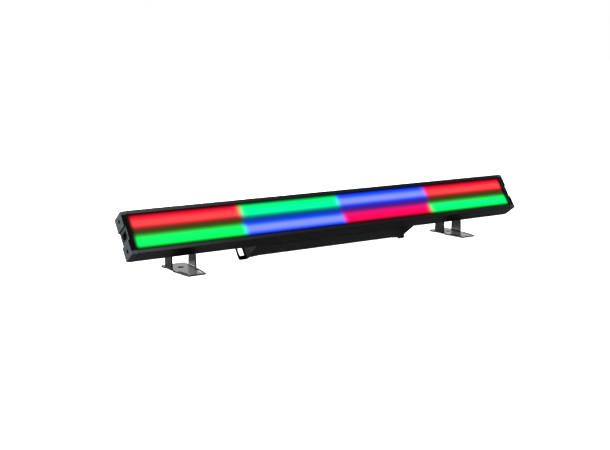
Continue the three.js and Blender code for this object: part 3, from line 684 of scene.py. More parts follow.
def new_piece(
    name: str,
    shell: Shell,
    finish: "Finish | LitAcrylic",
    body: str,
    replaced: Sequence[str] = (),
) -> bpy.types.Object:
    """Turns a surface into a piece of the object, with its flat faces shaded flat.

    Doubled points are merged, which closes poles and seams, and faces are turned outwards.

    Args:
        name: the piece's name.
        shell: its surface in the row frame.
        finish: its material.
        body: the CAD body that it moves with.
        replaced: the CAD nodes that it stands for.

    Returns:
        The new object, at the origin.
    """
    mesh = bpy.data.meshes.new(name)
    mesh.from_pydata(shell.points.tolist(), [], shell.faces)
    work = bmesh.new()
    work.from_mesh(mesh)
    bmesh.ops.remove_doubles(work, verts=work.verts, dist=1e-6)
    bmesh.ops.dissolve_degenerate(work, edges=work.edges, dist=1e-7)
    bmesh.ops.recalc_face_normals(work, faces=work.faces)
    work.to_mesh(mesh)
    work.free()
    mesh.polygons.foreach_set("use_smooth", [True] * len(mesh.polygons))
    mesh.materials.append(finish.material())
    piece = bpy.data.objects.new(name, mesh)
    bpy.context.scene.collection.objects.link(piece)
    piece.modifiers.new("steady shading", "WEIGHTED_NORMAL").keep_sharp = True
    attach(piece, body)
    if replaced:
        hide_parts(*replaced)
    LOG.info("made %s: %d faces", name, len(mesh.polygons))
    return piece


def soften(piece: bpy.types.Object, bevel: float) -> None:
    """Gives a CAD node rounded edges and steady shading, as live modifiers.

    The mesh is loose triangles, so the modifiers merge them and clean their flat faces first.

    Args:
        piece: the node's object.
        bevel: width of the rounded edges in metres.
    """
    piece.modifiers.new("merge", "WELD").merge_threshold = 1e-6
    flat = piece.modifiers.new("flat faces", "DECIMATE")
    flat.decimate_type = "DISSOLVE"
    flat.angle_limit = math.radians(0.5)
    rounding = piece.modifiers.new("edge rounds", "BEVEL")
    rounding.width = bevel
    rounding.segments = 3
    rounding.limit_method = "ANGLE"
    rounding.angle_limit = math.radians(40)
    rounding.use_clamp_overlap = True
    rounding.miter_outer = "MITER_ARC"
    piece.modifiers.new("steady shading", "WEIGHTED_NORMAL").keep_sharp = True


def dress(node: str, finish: Finish, bevel: float = 0) -> None:
    """Gives a CAD node its finish and rounded edges. Its own mesh isn't touched.

    Args:
        node: the CAD node's name.
        finish: its material.
        bevel: width of its rounded edges in metres, or 0 for crisp ones.
    """
    piece = frame["nodes"][node]
    if not piece.material_slots:
        piece.data.materials.append(None)
    for place in piece.material_slots:
        place.link = "OBJECT"
        place.material = finish.material()
    if bevel:
        soften(piece, bevel)
    LOG.info("dressed %s", node)


@dataclass(frozen=True)
class SocketScrew:
    """A button-head screw with a hexagon socket. Sizes are in metres."""

    head: float
    height: float
    shank: float
    length: float

    def shell(self) -> Shell:
        """The screw, with its seat at w = 0 and its head towards +w. The head is a slab with a wide
        round on its rim and a six-sided hole, and a disc is the hole's floor."""
        rim = self.height * 0.35
        outline, socket = circle(self.head), circle(self.head * 0.45, steps=6)
        top = slab(outline, 0, self.height, rim, [socket], 4)
        floor = disc(self.head * 0.6, 0.02 * MM, rim, 0.02 * MM)
        stem = disc(self.shank, -self.length, 0.01 * MM, 0.2 * MM, 20)
        return joined([top, floor, stem])

    def fit(self, node: str, place: Placement) -> None:
        """Makes the screw in the place of a CAD node, with its seat at the placement's origin."""
        shell = self.shell().placed(place)
        new_piece(f"{node}_head", shell, BLACK_OXIDE, "batten", [node])


CAP_SCREW = SocketScrew(3.2 * MM, 2.6 * MM, 1.45 * MM, 14 * MM)
BRACKET_SCREW = SocketScrew(4.5 * MM, 3 * MM, 2.4 * MM, 9 * MM)


def threaded(radius: float, low: float, high: float, pitch: float, steps: int = 24) -> Shell:
    """A screw thread: at height h and angle a the radius is the crest's, less the pitch times how
    far h / pitch - a / turn is from a whole number, which climbs one pitch for each turn.

    Args:
        radius: the crest's radius.
        low: height of one end along w.
        high: height of the other end.
        pitch: the climb of one turn.
        steps: spans of a whole turn.

    Returns:
        The closed surface, with its axis along w.
    """
    rows = int((high - low) / pitch * 6)
    angle = np.linspace(0, 2 * np.pi, steps, endpoint=False)[None, :]
    height = np.linspace(low, high, rows)[:, None] + np.zeros_like(angle)
    phase = height / pitch - angle / (2 * np.pi)
    radii = radius - pitch * np.abs(phase - np.round(phase))
    radii[[0, -1]] = radius - pitch * 0.6
    rings = np.stack([radii * np.cos(angle), radii * np.sin(angle), height], -1)
    return capped_grid(rings.reshape(-1, 3), steps)


# ---- The housing and its ends ----


@dataclass
class Housing:
    """The extruded channel with its two moulded end caps. Sizes are in metres."""

    lip_height: float = 8 * MM
    lip_thickness: float = 2.5 * MM
    wall: float = 2.2 * MM
    groove: float = 3.6 * MM
    ledge_thickness: float = 1.4 * MM
    ledge_height: float = 4.7 * MM
    boss_depth: float = 18.2 * MM
    boss_height: float = 32 * MM
    boss_half: float = 4 * MM
    web_depth: float = 28.3 * MM
    web_thickness: float = 2 * MM
    front_round: float = 0.9 * MM
    back_round: float = 1.6 * MM
    lip_round: float = 0.5 * MM
    screw_bore: float = 1.7 * MM
    socket_flange: float = 2 * MM
    socket_wall: float = 1.6 * MM
    pin_spacing: float = 3.6 * MM

    def upper_half(self, face: float, top: float) -> list[tuple[float, float, float]]:
        """The section's upper half, from the front corner back to the web, with corner radii."""
        inner = top - self.wall
        ledge = inner - self.ledge_height
        groove_back = face + self.lip_thickness + self.groove
        ledge_back = groove_back + self.ledge_thickness
        boss_front = face + self.boss_depth - self.boss_half
        boss_back = face + self.boss_depth + self.boss_half
        boss_inner = self.boss_height - self.boss_half
        return [
            (face, top, self.front_round),
            (face, top - self.lip_height, self.lip_round),
            (face + self.lip_thickness, top - self.lip_height, self.lip_round),
            (face + self.lip_thickness, inner, 0),
            (groove_back, inner, 0),
            (groove_back, ledge, 0.2 * MM),
            (ledge_back, ledge, 0.2 * MM),
            (ledge_back, inner, 0.4 * MM),
            (boss_front, inner, 0.4 * MM),
            (boss_front, boss_inner, 1 * MM),
            (boss_back, boss_inner, 1 * MM),
            (boss_back, inner, 0.4 * MM),
            (face + self.web_depth, inner, 0.4 * MM),
        ]

    def section(self, face: float, back: float, top: float) -> tuple[Loop, list[Loop]]:
        """The whole section in (y, z), and its bores and wiring duct."""
        upper = self.upper_half(face, top)
        lower = [(y, -z, radius) for y, z, radius in reversed(upper)]
        ends = [(back, -top, self.back_round), (back, top, self.back_round)]
        depth = face + self.boss_depth
        bores = [circle(self.screw_bore, (depth, way * self.boss_height), 12) for way in (-1, 1)]
        web_back = face + self.web_depth + self.web_thickness
        duct = rectangle(web_back, back - self.wall, self.wall - top, top - self.wall, 0.5 * MM, 2)
        return rounded(upper + lower + ends, 4), bores + [duct]

    def build(self) -> None:
        """Makes the extrusion, and dresses the caps and their screws and link sockets."""
        low, high = bar_box("housing_extrusion")
        outline, holes = self.section(low[1], high[1], high[2])
        shell = slab(outline, low[0], high[0], 0.15 * MM, holes, 1)
        placed = shell.placed(BAR @ ALONG_X)
        new_piece("housing_body", placed, ANODISED, "batten", ["housing_extrusion"])
        for name, side in SIDES.items():
            dress(f"{name}_end_cap", CAP_ABS, 0.7 * MM)
            self.link_socket(name, side)
            for number in (1, 2):
                self.cap_screw(f"{name}_cap_screw_{number}", side)

    def link_socket(self, name: str, side: int) -> None:
        """The moulded cup between the cap's pads, and the five gold contacts on its floor.

        Args:
            name: the end's name.
            side: 1 at the right end, or -1 at the left.
        """
        node = f"{name}_link_socket"
        low, high = bar_box(node)
        mouth, floor = (low[0], high[0]) if side < 0 else (high[0], low[0])
        base_thickness, pin_height = 1.5 * MM, 3 * MM
        back = floor + side * base_thickness
        y0, y1 = low[1] + 0.2 * MM, high[1] - self.socket_flange
        half = high[2] - self.socket_flange
        outline = rectangle(y0, y1, -half, half, 1.5 * MM)
        cup = slab(outline, *sorted((mouth, back)), 0.3 * MM, [inset(outline, self.socket_wall)])
        base = slab(outline, *sorted((back, floor)), 0.2 * MM)
        shell = joined([cup, base]).placed(BAR @ ALONG_X)
        new_piece(f"{name}_link_cup", shell, BLACK_NYLON, "batten", [node])
        pin = disc(0.9 * MM, *sorted((back + side * pin_height, back)), 0.3 * MM, 12)
        middle = (y0 + y1) / 2
        places = [Placement.at(middle + step * self.pin_spacing, 0, 0) for step in range(-2, 3)]
        contacts = joined([pin.placed(place) for place in places]).placed(BAR @ ALONG_X)
        new_piece(f"{name}_link_contacts", contacts, GOLD_FLASH, "batten")

    def cap_screw(self, node: str, side: int) -> None:
        """A socket screw at the bottom of its well in the cap."""
        low, high = bar_box(node)
        middle = (low + high) / 2
        seat = (high[0] if side > 0 else low[0]) - side * CAP_SCREW.height
        CAP_SCREW.fit(node, BAR @ Placement.at(seat, middle[1], middle[2]) @ outward(side))


# ---- The light ----


@dataclass(frozen=True)
class LitAcrylic:
    """Smoked diffusing acrylic, frosted in the mould: dark where unlit, with the light of the diodes
    spread in it, which is read from the glow attribute. The frost is drawn at 1 mm."""

    name: str = "frosted_smoked_acrylic"
    colour: str = "030304"
    accent: str = "060607"
    specular: float = 0.02
    frost_mm: float = 1.0
    cloud_mm: float = 35.0
    stir: float = 0.06

    def material(self) -> bpy.types.Material:
        """The material: the frost and broad clouds each stir the light by a few per cent."""
        material = bpy.data.materials.new(self.name)
        material.use_nodes = True
        tree = material.node_tree
        tree.nodes.clear()
        place = add_node(tree, "ShaderNodeTexCoord").outputs["Object"]
        frost, clouds = (
            add_node(
                tree, "ShaderNodeTexNoise", Vector=place, Scale=1 / (size * MM), Detail=2.0
            ).outputs["Fac"]
            for size in (self.frost_mm, self.cloud_mm)
        )
        glow = add_node(tree, "ShaderNodeAttribute", {"attribute_name": "glow"}).outputs["Color"]
        kind, sums = "ShaderNodeMath", {"operation": "MULTIPLY_ADD"}
        stir = add_node(tree, kind, sums, n0=frost, n1=self.stir, n2=1 - self.stir).outputs[0]
        stir = add_node(tree, kind, sums, n0=clouds, n1=self.stir, n2=stir).outputs[0]
        light = add_node(
            tree, "ShaderNodeVectorMath", {"operation": "SCALE"}, n0=glow, Scale=stir
        ).outputs[0]
        rough = add_node(tree, "ShaderNodeMapRange", Value=frost, To_Min=0.28, To_Max=0.4).outputs["Result"]
        bump = add_node(
            tree, "ShaderNodeBump", Strength=0.3, Distance=0.01 * MM, Height=frost
        ).outputs["Normal"]
        colours = {"n6": linear(self.colour), "n7": linear(self.accent)}
        tone = add_node(tree, "ShaderNodeMix", COLOUR_MIX, Factor=clouds, **colours).outputs[2]
        shader = add_node(tree, "ShaderNodeBsdfPrincipled", Base_Color=tone, Roughness=rough, Normal=bump)
        tree.links.new(light, shader.inputs["Emission Color"])
        shader.inputs["Emission Strength"].default_value = 1.0
        shader.inputs["Specular IOR Level"].default_value = self.specular
        add_node(tree, "ShaderNodeOutputMaterial", Surface=shader.outputs["BSDF"])
        return material


@dataclass(frozen=True)
class DiodeColour:
    """What one kind of diode gives the diffuser: its colour where brightest, and where it fades,
    its strength, and the share and reach in metres of the light that scatters past its row."""

    core: str
    fading: str
    strength: float
    scatter: float = 0.12
    reach: float = 20 * MM


class Diodes(Enum):
    """The colours that the zones are set to."""

    RED = DiodeColour("ff4046", "ff0030", 1.25)
    CRIMSON = DiodeColour("ff0056", "ff063e", 1.05)
    GREEN = DiodeColour("00ff66", "00ff4b", 1.25)
    SPRING_GREEN = DiodeColour("00ff7a", "00ff58", 1.25)
    SEA_GREEN = DiodeColour("00ff8f", "00ff76", 1.25)
    BLUE = DiodeColour("5d6bff", "0e3cff", 2.2, 0.3, 24 * MM)


@dataclass
class LightEngine:
    """The diffuser, lit by two rows of diodes in four zones, with the tray and boards behind it."""

    upper: tuple[Diodes, ...] = (Diodes.RED, Diodes.SEA_GREEN, Diodes.BLUE, Diodes.RED)
    lower: tuple[Diodes, ...] = (Diodes.GREEN, Diodes.BLUE, Diodes.CRIMSON, Diodes.SPRING_GREEN)
    row_height: float = 20.4 * MM
    inner_spread: float = 11.9 * MM
    outer_spread: float = 14.5 * MM
    row_sharpness: float = 3.45
    core_spread: float = 8.6 * MM
    core_drop: float = 2.4 * MM
    zone_blend: float = 11 * MM
    end_fade: float = 10 * MM
    end_margin: float = 6 * MM
    upper_edge: float = 39.2 * MM
    lower_edge: float = 37 * MM
    edge_fade: float = 9 * MM
    zone_margin: float = 3 * MM
    panel_round: float = 0.4 * MM
    stations: int = 420
    rows: int = 80

    def row_light(self, colours: Sequence[Diodes], x: Array, z: Array, height: float, half: float) -> Array:
        """One row's light, in linear colour.

        Across the row it is exp(-(d / spread) ** sharpness) plus a scatter exp(-(d / reach) ** 2),
        for a distance d from the row's line, with a wider spread on the side of the bar's edge.
        Along the row each zone's share is a smooth step up at its start and down at its end. The
        colour goes from fading to core by exp(-(c / core spread) ** 3), for a distance c from a
        line a little under the row's.

        Args:
            colours: the zones' colours, left to right.
            x, z: the places, as equal arrays in the bar frame.
            height: the row's height.
            half: half the length of all the zones.

        Returns:
            Rows of red, green, blue.
        """
        distance = np.abs(z - height)
        spread = np.where(np.abs(z) > abs(height), self.outer_spread, self.inner_spread)
        tight = np.exp(-((distance / spread) ** self.row_sharpness))
        core_line = height - max(self.core_drop * np.sign(height), 0)
        share = np.exp(-((np.abs(z - core_line) / self.core_spread) ** 3))[:, None]
        edges = np.linspace(-half, half, len(colours) + 1)
        total = np.zeros((len(x), 3))
        for colour, start, end in zip(colours, edges, edges[1:]):
            starts = 1 / (1 + np.exp(-(x - start) / self.zone_blend * 4)) if start > -half else 1.0
            ends = 1 / (1 + np.exp((x - end) / self.zone_blend * 4)) if end < half else 1.0
            core, fading = (np.array(linear(code)[:3]) for code in (colour.value.core, colour.value.fading))
            wide = np.exp(-((distance / colour.value.reach) ** 2)) * (1 - tight)
            light = colour.value.strength * (tight + colour.value.scatter * wide)
            total += (fading + (core - fading) * share) * (light * starts * ends)[:, None]
        return total

    def light(self, x: Array, z: Array, half: float) -> Array:
        """The diffuser's light from both rows, fading at its ends and under the tray's edges.

        Args:
            x, z: the places, as equal arrays in the bar frame.
            half: half the length of all the zones.

        Returns:
            Rows of red, green, blue, in linear colour.
        """
        both = self.row_light(self.upper, x, z, self.row_height, half)
        both += self.row_light(self.lower, x, z, -self.row_height, half)
        ends = np.clip((half - self.end_margin + self.end_fade / 2 - np.abs(x)) / self.end_fade, 0, 1)
        edge = np.where(z > 0, self.upper_edge, self.lower_edge)
        edges = np.clip((edge - np.abs(z)) / self.edge_fade + 0.05, 0, 1)
        fade = (ends * ends * (3 - 2 * ends)) * (edges * edges * (3 - 2 * edges))
        return both * fade[:, None]

    def build(self) -> None:
        """Makes the diffuser and dresses the tray and the boards."""
        low, high = bar_box("diffuser_panel")
        lip = self.panel_round
        front = np.linspace(high[2] - lip, low[2] + lip, self.rows)
        section = np.concatenate([
            np.column_stack([np.full(self.rows, low[1]), front]),
            [[low[1] + lip, low[2]], [high[1], low[2]], [high[1], high[2]], [low[1] + lip, high[2]]],
        ])
        x = np.linspace(low[0], high[0], self.stations)
        grid = np.stack([
            np.repeat(x[:, None], len(section), 1),
            np.tile(section[:, 0], (len(x), 1)),
            np.tile(section[:, 1], (len(x), 1)),
        ], -1)
        shell = capped_grid(grid.reshape(-1, 3), len(section)).placed(BAR)
        node = "diffuser_panel"
        piece = new_piece("diffuser_lens", shell, LitAcrylic(), "batten", [node])
        self.paint(piece, bar_box("housing_extrusion")[1][0])
        dress("reflector_tray", WHITE_ENAMEL)
        for number in range(1, 5):
            dress(f"led_board_{number}", WHITE_MASK)

    def paint(self, piece: bpy.types.Object, half: float) -> None:
        """Stores the light at each point of the diffuser as its glow attribute.

        Args:
            piece: the diffuser.
            half: half the housing's length.
        """
        mesh = piece.data
        points = np.empty(len(mesh.vertices) * 3, np.float32)
        mesh.vertices.foreach_get("co", points)
        local = BAR.undo(points.reshape(-1, 3).astype(float))
        glow = self.light(local[:, 0], local[:, 2], half + self.zone_margin)
        colours = np.column_stack([glow, np.ones(len(glow))]).astype(np.float32)
        layer = mesh.color_attributes.new("glow", "FLOAT_COLOR", "POINT")
        layer.data.foreach_set("color", colours.ravel())


# ---- The feet ----


@dataclass(frozen=True)
class FoldedChannel:
    """A base plate with an arm folded up each side, cut as one blank. Sizes are in metres.

    The blank is alike on both sides of its middle line. Beside each bend it has a relief notch, and
    the arm narrows to a rounded top.
    """

    sheet: float
    bend: float
    outer: float
    height: float
    pivot: float
    pivot_hole: float
    arm_half: float
    top_half: float
    relief: float
    notch_round: float
    edge: float
    arc_steps: int
    top_round: float = 11 * MM

    def shell(self, front: list, back: list, holes: Sequence[Loop]) -> Shell:
        """The folded channel, standing on w = 0 with its middle line at u = 0.

        Args:
            front: the plate's corners (u, v, radius) ahead of the arm, on the side where u is positive.
            back: its corners behind the arm.
            holes: loops cut through the plate.

        Returns:
            The closed surface in (u, v, w).
        """
        base_half = self.outer - self.sheet - self.bend
        straight = self.height - self.sheet - self.bend
        notch = self.arm_half + self.relief
        runs = (Run(straight, self.bend, 90), Run(2 * base_half, self.bend, 90), Run(straight))
        tab_half = self.arm_half + self.relief / 2
        sheet = FoldedSheet(runs, self.sheet, heading=-90, flat_run=1, tab_half=tab_half)
        middle = sheet.length() / 2
        side = [
            *front,
            (base_half, -notch, self.notch_round),
            (base_half, -self.arm_half, 0),
            (middle, -self.top_half, self.top_round),
            (middle, self.top_half, self.top_round),
            (base_half, self.arm_half, 0),
            (base_half, notch, self.notch_round),
            *back,
        ]
        other = [(-u, v, radius) for u, v, radius in reversed(side)]
        blank = rounded([(u + middle, v, radius) for u, v, radius in side + other], self.arc_steps)
        curve = (self.bend + self.sheet / 2) * math.pi / 2
        across = base_half + curve + self.pivot - self.sheet - self.bend
        pivots = [circle(self.pivot_hole, (way * across, 0)) for way in (1, -1)]
        cuts = [loop + (middle, 0) for loop in [*holes, *pivots]]
        folded = sheet.fold(slab(blank, 0, self.sheet, self.edge, cuts))
        low, high = folded.points.min(0), folded.points.max(0)
        return folded.placed(Placement.at(-(low[0] + high[0]) / 2, 0, -low[2]))


@dataclass
class TiltFoot:
    """A bent foot with its pivot bracket, clamp knobs and friction washers. Sizes are in metres."""

    name: str
    sheet: float = 3 * MM
    bend: float = 3 * MM
    arm_outer: float = 28 * MM
    arm_half: float = 16.5 * MM
    arm_top_half: float = 14 * MM
    relief: float = 1.8 * MM
    front_half: float = 20 * MM
    clamp_hole: float = 6.5 * MM
    stud_hole: float = 4.3 * MM
    ear_sheet: float = 2.5 * MM
    ear_bend: float = 2 * MM
    ear_half: float = 15 * MM
    ear_top_half: float = 13 * MM
    ear_relief: float = 1.6 * MM
    thread_radius: float = 4 * MM
    pitch: float = 1.25 * MM
    gap: float = 0.3 * MM
    lobes: int = 5
    middle: Vector = field(init=False)

    def __post_init__(self) -> None:
        """Finds the point on the hinge axis between the arms."""
        self.middle = Vector(joint_named(f"{self.name}_foot_tilt")["pos_m"])

    def build(self) -> None:
        """Makes the foot, its bracket, and the fixings on both sides."""
        self.foot_sheet()
        self.pivot_bracket()
        for number in (1, 2):
            node = f"{self.name}_bracket_screw_{number}"
            low, high = bar_box(node)
            middle = (low + high) / 2
            seat = high[1] - BRACKET_SCREW.height
            BRACKET_SCREW.fit(node, BAR @ Placement.at(middle[0], seat, middle[2]) @ ALONG_Y)
        for place in ("outer", "inner"):
            self.fixing(place)

    def foot_sheet(self) -> None:
        """The foot: a tapered plate with a clamp hole and two slots, and an arm folded up each side."""
        node = f"{self.name}_foot_bracket"
        low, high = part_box(node)
        front, back = low.y - self.middle.y, high.y - self.middle.y
        shoulder = self.arm_outer - 1.2 * MM
        notch = self.arm_half + self.relief + 1 * MM
        channel = FoldedChannel(
            self.sheet, self.bend, self.arm_outer, high.z, self.middle.z, self.stud_hole,
            self.arm_half, self.arm_top_half, self.relief, 0.6 * MM, 0.35 * MM, 6,
        )
        slot = [
            (13.4 * MM, front + 7 * MM, 2.2 * MM),
            (19.2 * MM, front + 6.6 * MM, 2.2 * MM),
            (23.4 * MM, -33 * MM, 2.2 * MM),
            (17.6 * MM, -33 * MM, 2.2 * MM),
        ]
        slots = [rounded([(way * u, v, radius) for u, v, radius in slot[::way]]) for way in (-1, 1)]
        shell = channel.shell(
            [(self.front_half, front, 3 * MM), (shoulder, -notch, 0.8 * MM)],
            [(shoulder, notch, 0.8 * MM), (high.x - self.middle.x, back, 7 * MM)],
            [circle(self.clamp_hole, steps=40), *slots],
        ).placed(Placement.at(self.middle.x, self.middle.y, 0))
        piece, body = f"{self.name}_foot_sheet", f"{self.name}_foot"
        new_piece(piece, shell, FOOT_ENAMEL, body, [node])

    def pivot_bracket(self) -> None:
        """The channel on the housing: a base plate, two folded ears and a welded nut in each ear."""
        node = f"{self.name}_pivot_bracket"
        low, high = bar_box(node)
        outer = high[0] - self.middle.x
        corner = outer - 1 * MM
        notch = self.ear_half + self.ear_relief
        channel = FoldedChannel(
            self.ear_sheet, self.ear_bend, outer, high[1] - low[1], -low[1], self.thread_radius + 0.1 * MM,
            self.ear_half, self.ear_top_half, self.ear_relief, 0.5 * MM, 0.3 * MM, 5,
        )
        shell = channel.shell(
            [(corner, low[2], 3 * MM), (corner, -notch, 0.6 * MM)],
            [(corner, notch, 0.6 * MM), (corner, high[2], 3 * MM)],
            [circle(2.7 * MM, (0, level * MM), 20) for level in (-20, 20)],
        ).placed(Placement.at(self.middle.x, low[1], 0) @ Placement.axes("+X", "+Z", "+Y"))
        nut_height, nut_radius = 5 * MM, 8 * MM
        bore = circle(self.thread_radius + 0.15 * MM)
        nuts = []
        for way in (-1, 1):
            inner = self.middle.x + way * (outer - self.ear_sheet)
            ends = sorted((inner, inner - way * nut_height))
            nut = slab(circle(nut_radius, steps=6), *ends, 0.5 * MM, [bore])
            nuts.append(nut.placed(ALONG_X))
        whole = joined([shell, *nuts]).placed(BAR)
        new_piece(f"{self.name}_pivot_channel", whole, POWDER_COAT, "batten", [node])

    def grip(self, seat: float) -> Shell:
        """A lobed hand grip, hollow under its rim for the arm's clearance, with its seat at w = seat."""
        profile = rounded([
            (0, seat + 8.1 * MM, 0),
            (7.5 * MM, seat + 8.1 * MM, 0.3 * MM),
            (7.5 * MM, seat, 0.2 * MM),
            (9 * MM, seat, 0.4 * MM),
            (9 * MM, seat + 4 * MM, 1.2 * MM),
            (14.4 * MM, seat + 5.2 * MM, 2.2 * MM),
            (14.4 * MM, seat + 16 * MM, 2.6 * MM),
            (8 * MM, seat + 16 * MM, 0.6 * MM),
            (7.4 * MM, seat + 15.2 * MM, 0.4 * MM),
            (0, seat + 15.2 * MM, 0),
        ])
        return turned(profile, 120, self.lobes, 1.8 * MM)

    def fixing(self, place: str) -> None:
        """One side's washer, threaded stud and lobed grip, along the hinge axis."""
        stem = f"{self.name}_{place}"
        body = f"{stem}_knob"
        axis = Placement.at(*self.middle) @ outward(joint_named(f"{body}_turn")["axis"][0])
        seat = self.arm_outer + self.gap
        handle = self.grip(seat).placed(axis)
        new_piece(f"{body}_handle", handle, BLACK_NYLON, body, [f"{body}_grip"])
        thread = threaded(self.thread_radius, 15 * MM, seat + 1 * MM, self.pitch)
        head = slab(circle(7.2 * MM, steps=6), seat + 0.5 * MM, seat + 7.8 * MM, 0.5 * MM)
        stud = joined([thread, head]).placed(axis)
        new_piece(f"{stem}_threaded_stud", stud, ZINC_PLATE, body, [f"{body}_stud"])
        inner, outer = 23.3 * MM, self.arm_outer - self.sheet - self.gap
        ring = turned(rectangle(self.stud_hole, 10.5 * MM, inner, outer, 0.25 * MM, 3), 48).placed(axis)
        piece, foot, node = f"{stem}_nylon_washer", f"{self.name}_foot", f"{stem}_friction_washer"
        new_piece(piece, ring, NATURAL_NYLON, foot, [node])


# ---- The supply box ----


@dataclass
class PanelSocket:
    """A round socket in one end of the supply box: flange, barrel and contacts. Sizes in metres."""

    node: str
    side: int
    finish: Finish
    slot: str
    cavity: float
    depth: float
    core: float = 0
    pins: int = 0
    blades: int = 0
    barrel: float = 11.8 * MM
    flange_half: tuple[float, float] = (13 * MM, 15.5 * MM)
    stand_off: float = 0.3 * MM
    flange: float = 2 * MM

    def placement(self) -> Placement:
        """From the socket's own frame, w pointing out of the box's wall, to the row frame."""
        low, high = bar_box(self.node)
        wall = (high[0] if self.side > 0 else low[0]) - self.side * (self.stand_off + self.flange)
        middle = (low + high) / 2
        return BAR @ Placement.at(wall, middle[1], middle[2]) @ outward(self.side)

    def build(self) -> None:
        """Makes the moulding and its contacts."""
        place = self.placement()
        face = self.stand_off + self.flange
        half_u, half_v = self.flange_half
        rim = self.cavity + 0.4 * MM
        outline = rectangle(-half_u, half_u, -half_v, half_v, 3 * MM)
        plate = slab(outline, self.stand_off, face, 0.5 * MM, [circle(rim, steps=48)])
        cup = turned(rounded([
            (0, -self.depth - 3.5 * MM, 0),
            (self.barrel, -self.depth - 3.5 * MM, 0.6 * MM),
            (self.barrel, self.stand_off, 0),
            (self.barrel - 0.8 * MM, face + 0.8 * MM, 0.3 * MM),
            (rim, face + 0.8 * MM, 0.3 * MM),
            (self.cavity, face, 0.3 * MM),
            (self.cavity, -self.depth, 0.4 * MM),
            (0, -self.depth, 0),
        ], 3), 48)
        shells = [plate, cup]
        if self.core:
            shells.append(disc(self.core, -self.depth - 1 * MM, face - 0.5 * MM, 0.5 * MM, 40))
        piece = f"{self.node}_moulding"
        new_piece(piece, joined(shells).placed(place), self.finish, "batten", [self.node])
        contacts = self.contacts()
        if contacts:
            new_piece(f"{self.node}_contacts", joined(contacts).placed(place), GOLD_FLASH, "batten")

    def contacts(self) -> list[Shell]:
        """The pins on a ring, 50 degrees apart, or the blades, 120 degrees apart."""
        found = []
        ring = 4.9 * MM if self.core else 5.6 * MM
        low, high = (0.5 * MM, 1.9 * MM) if self.core else (-self.depth - 0.5 * MM, -4 * MM)
        for step in range(self.pins):
            turn = Placement.turned((step - (self.pins - 1) / 2) * 50, "Z")
            found.append(disc(0.9 * MM, low, high, 0.5 * MM, 16).placed(turn @ Placement.at(0, ring, 0)))
        for step in range(self.blades):
            turn = Placement.turned(step * 360 / self.blades, "Z")
            outline = rectangle(-2 * MM, 2 * MM, -0.6 * MM, 0.6 * MM, 0.3 * MM, 2)
            blade = slab(outline, -self.depth - 0.5 * MM, -self.depth + 7 * MM, 0.3 * MM)
            found.append(blade.placed(turn @ Placement.at(0, 5.8 * MM, 0)))
        return found


@dataclass
class SafetyEye:
    """A cranked sheet loop under a cover screw. Its blank runs from the tab to the loop's end."""

    name: str
    side: int
    sheet: float = 3 * MM
    bend: float = 1.5 * MM
    tab: float = 20 * MM
    riser: float = 2 * MM
    loop: float = 17.5 * MM
    reach: float = 33.5 * MM
    screw_across: float = 26 * MM
    screw_height: float = -39 * MM

    def build(self) -> None:
        """Cuts, folds and places the eye. The right one is cut from the mirrored blank."""
        runs = (Run(self.tab, self.bend, 90), Run(self.riser, self.bend, -90), Run(self.loop))
        sheet = FoldedSheet(runs, self.sheet)
        length = sheet.length()
        first_bend = self.tab + (self.bend + self.sheet / 2) * math.pi / 2
        low, high, shoulder = -46.75 * MM, -12 * MM, -29 * MM
        corners = [
            (0, -45.5 * MM, 3 * MM),
            (self.tab, low, 0),
            (length, low, 5 * MM),
            (length, high, 5 * MM),
            (first_bend, high, 2 * MM),
            (first_bend, shoulder, 1 * MM),
            (self.tab, shoulder, 0),
            (0, -31 * MM, 3 * MM),
        ]
        window = rectangle(length - 16 * MM, length - 4 * MM, -38 * MM, -20 * MM, 2.5 * MM)
        screw = circle(1.8 * MM, (self.reach - self.screw_across, self.screw_height), 24)
        loops = [rounded(corners), window, screw]
        if self.side < 0:
            loops = [(loop * (1, -1))[::-1] for loop in loops]
        folded = sheet.fold(slab(loops[0], 0, self.sheet, 0.4 * MM, loops[1:]))
        box_low, box_high = bar_box(self.name)
        start = box_high[0] if self.side > 0 else box_low[0]
        way = Placement.axes("-X", "+Z", "+Y") if self.side > 0 else Placement.axes("+X", "-Z", "+Y")
        rest = Placement.at(0, 0, -folded.points[:, 2].min())
        place = BAR @ Placement.at(start, box_low[1], 0) @ way @ rest
        new_piece(f"{self.name}_loop", folded.placed(place), BLACK_OXIDE, "batten", [self.name])


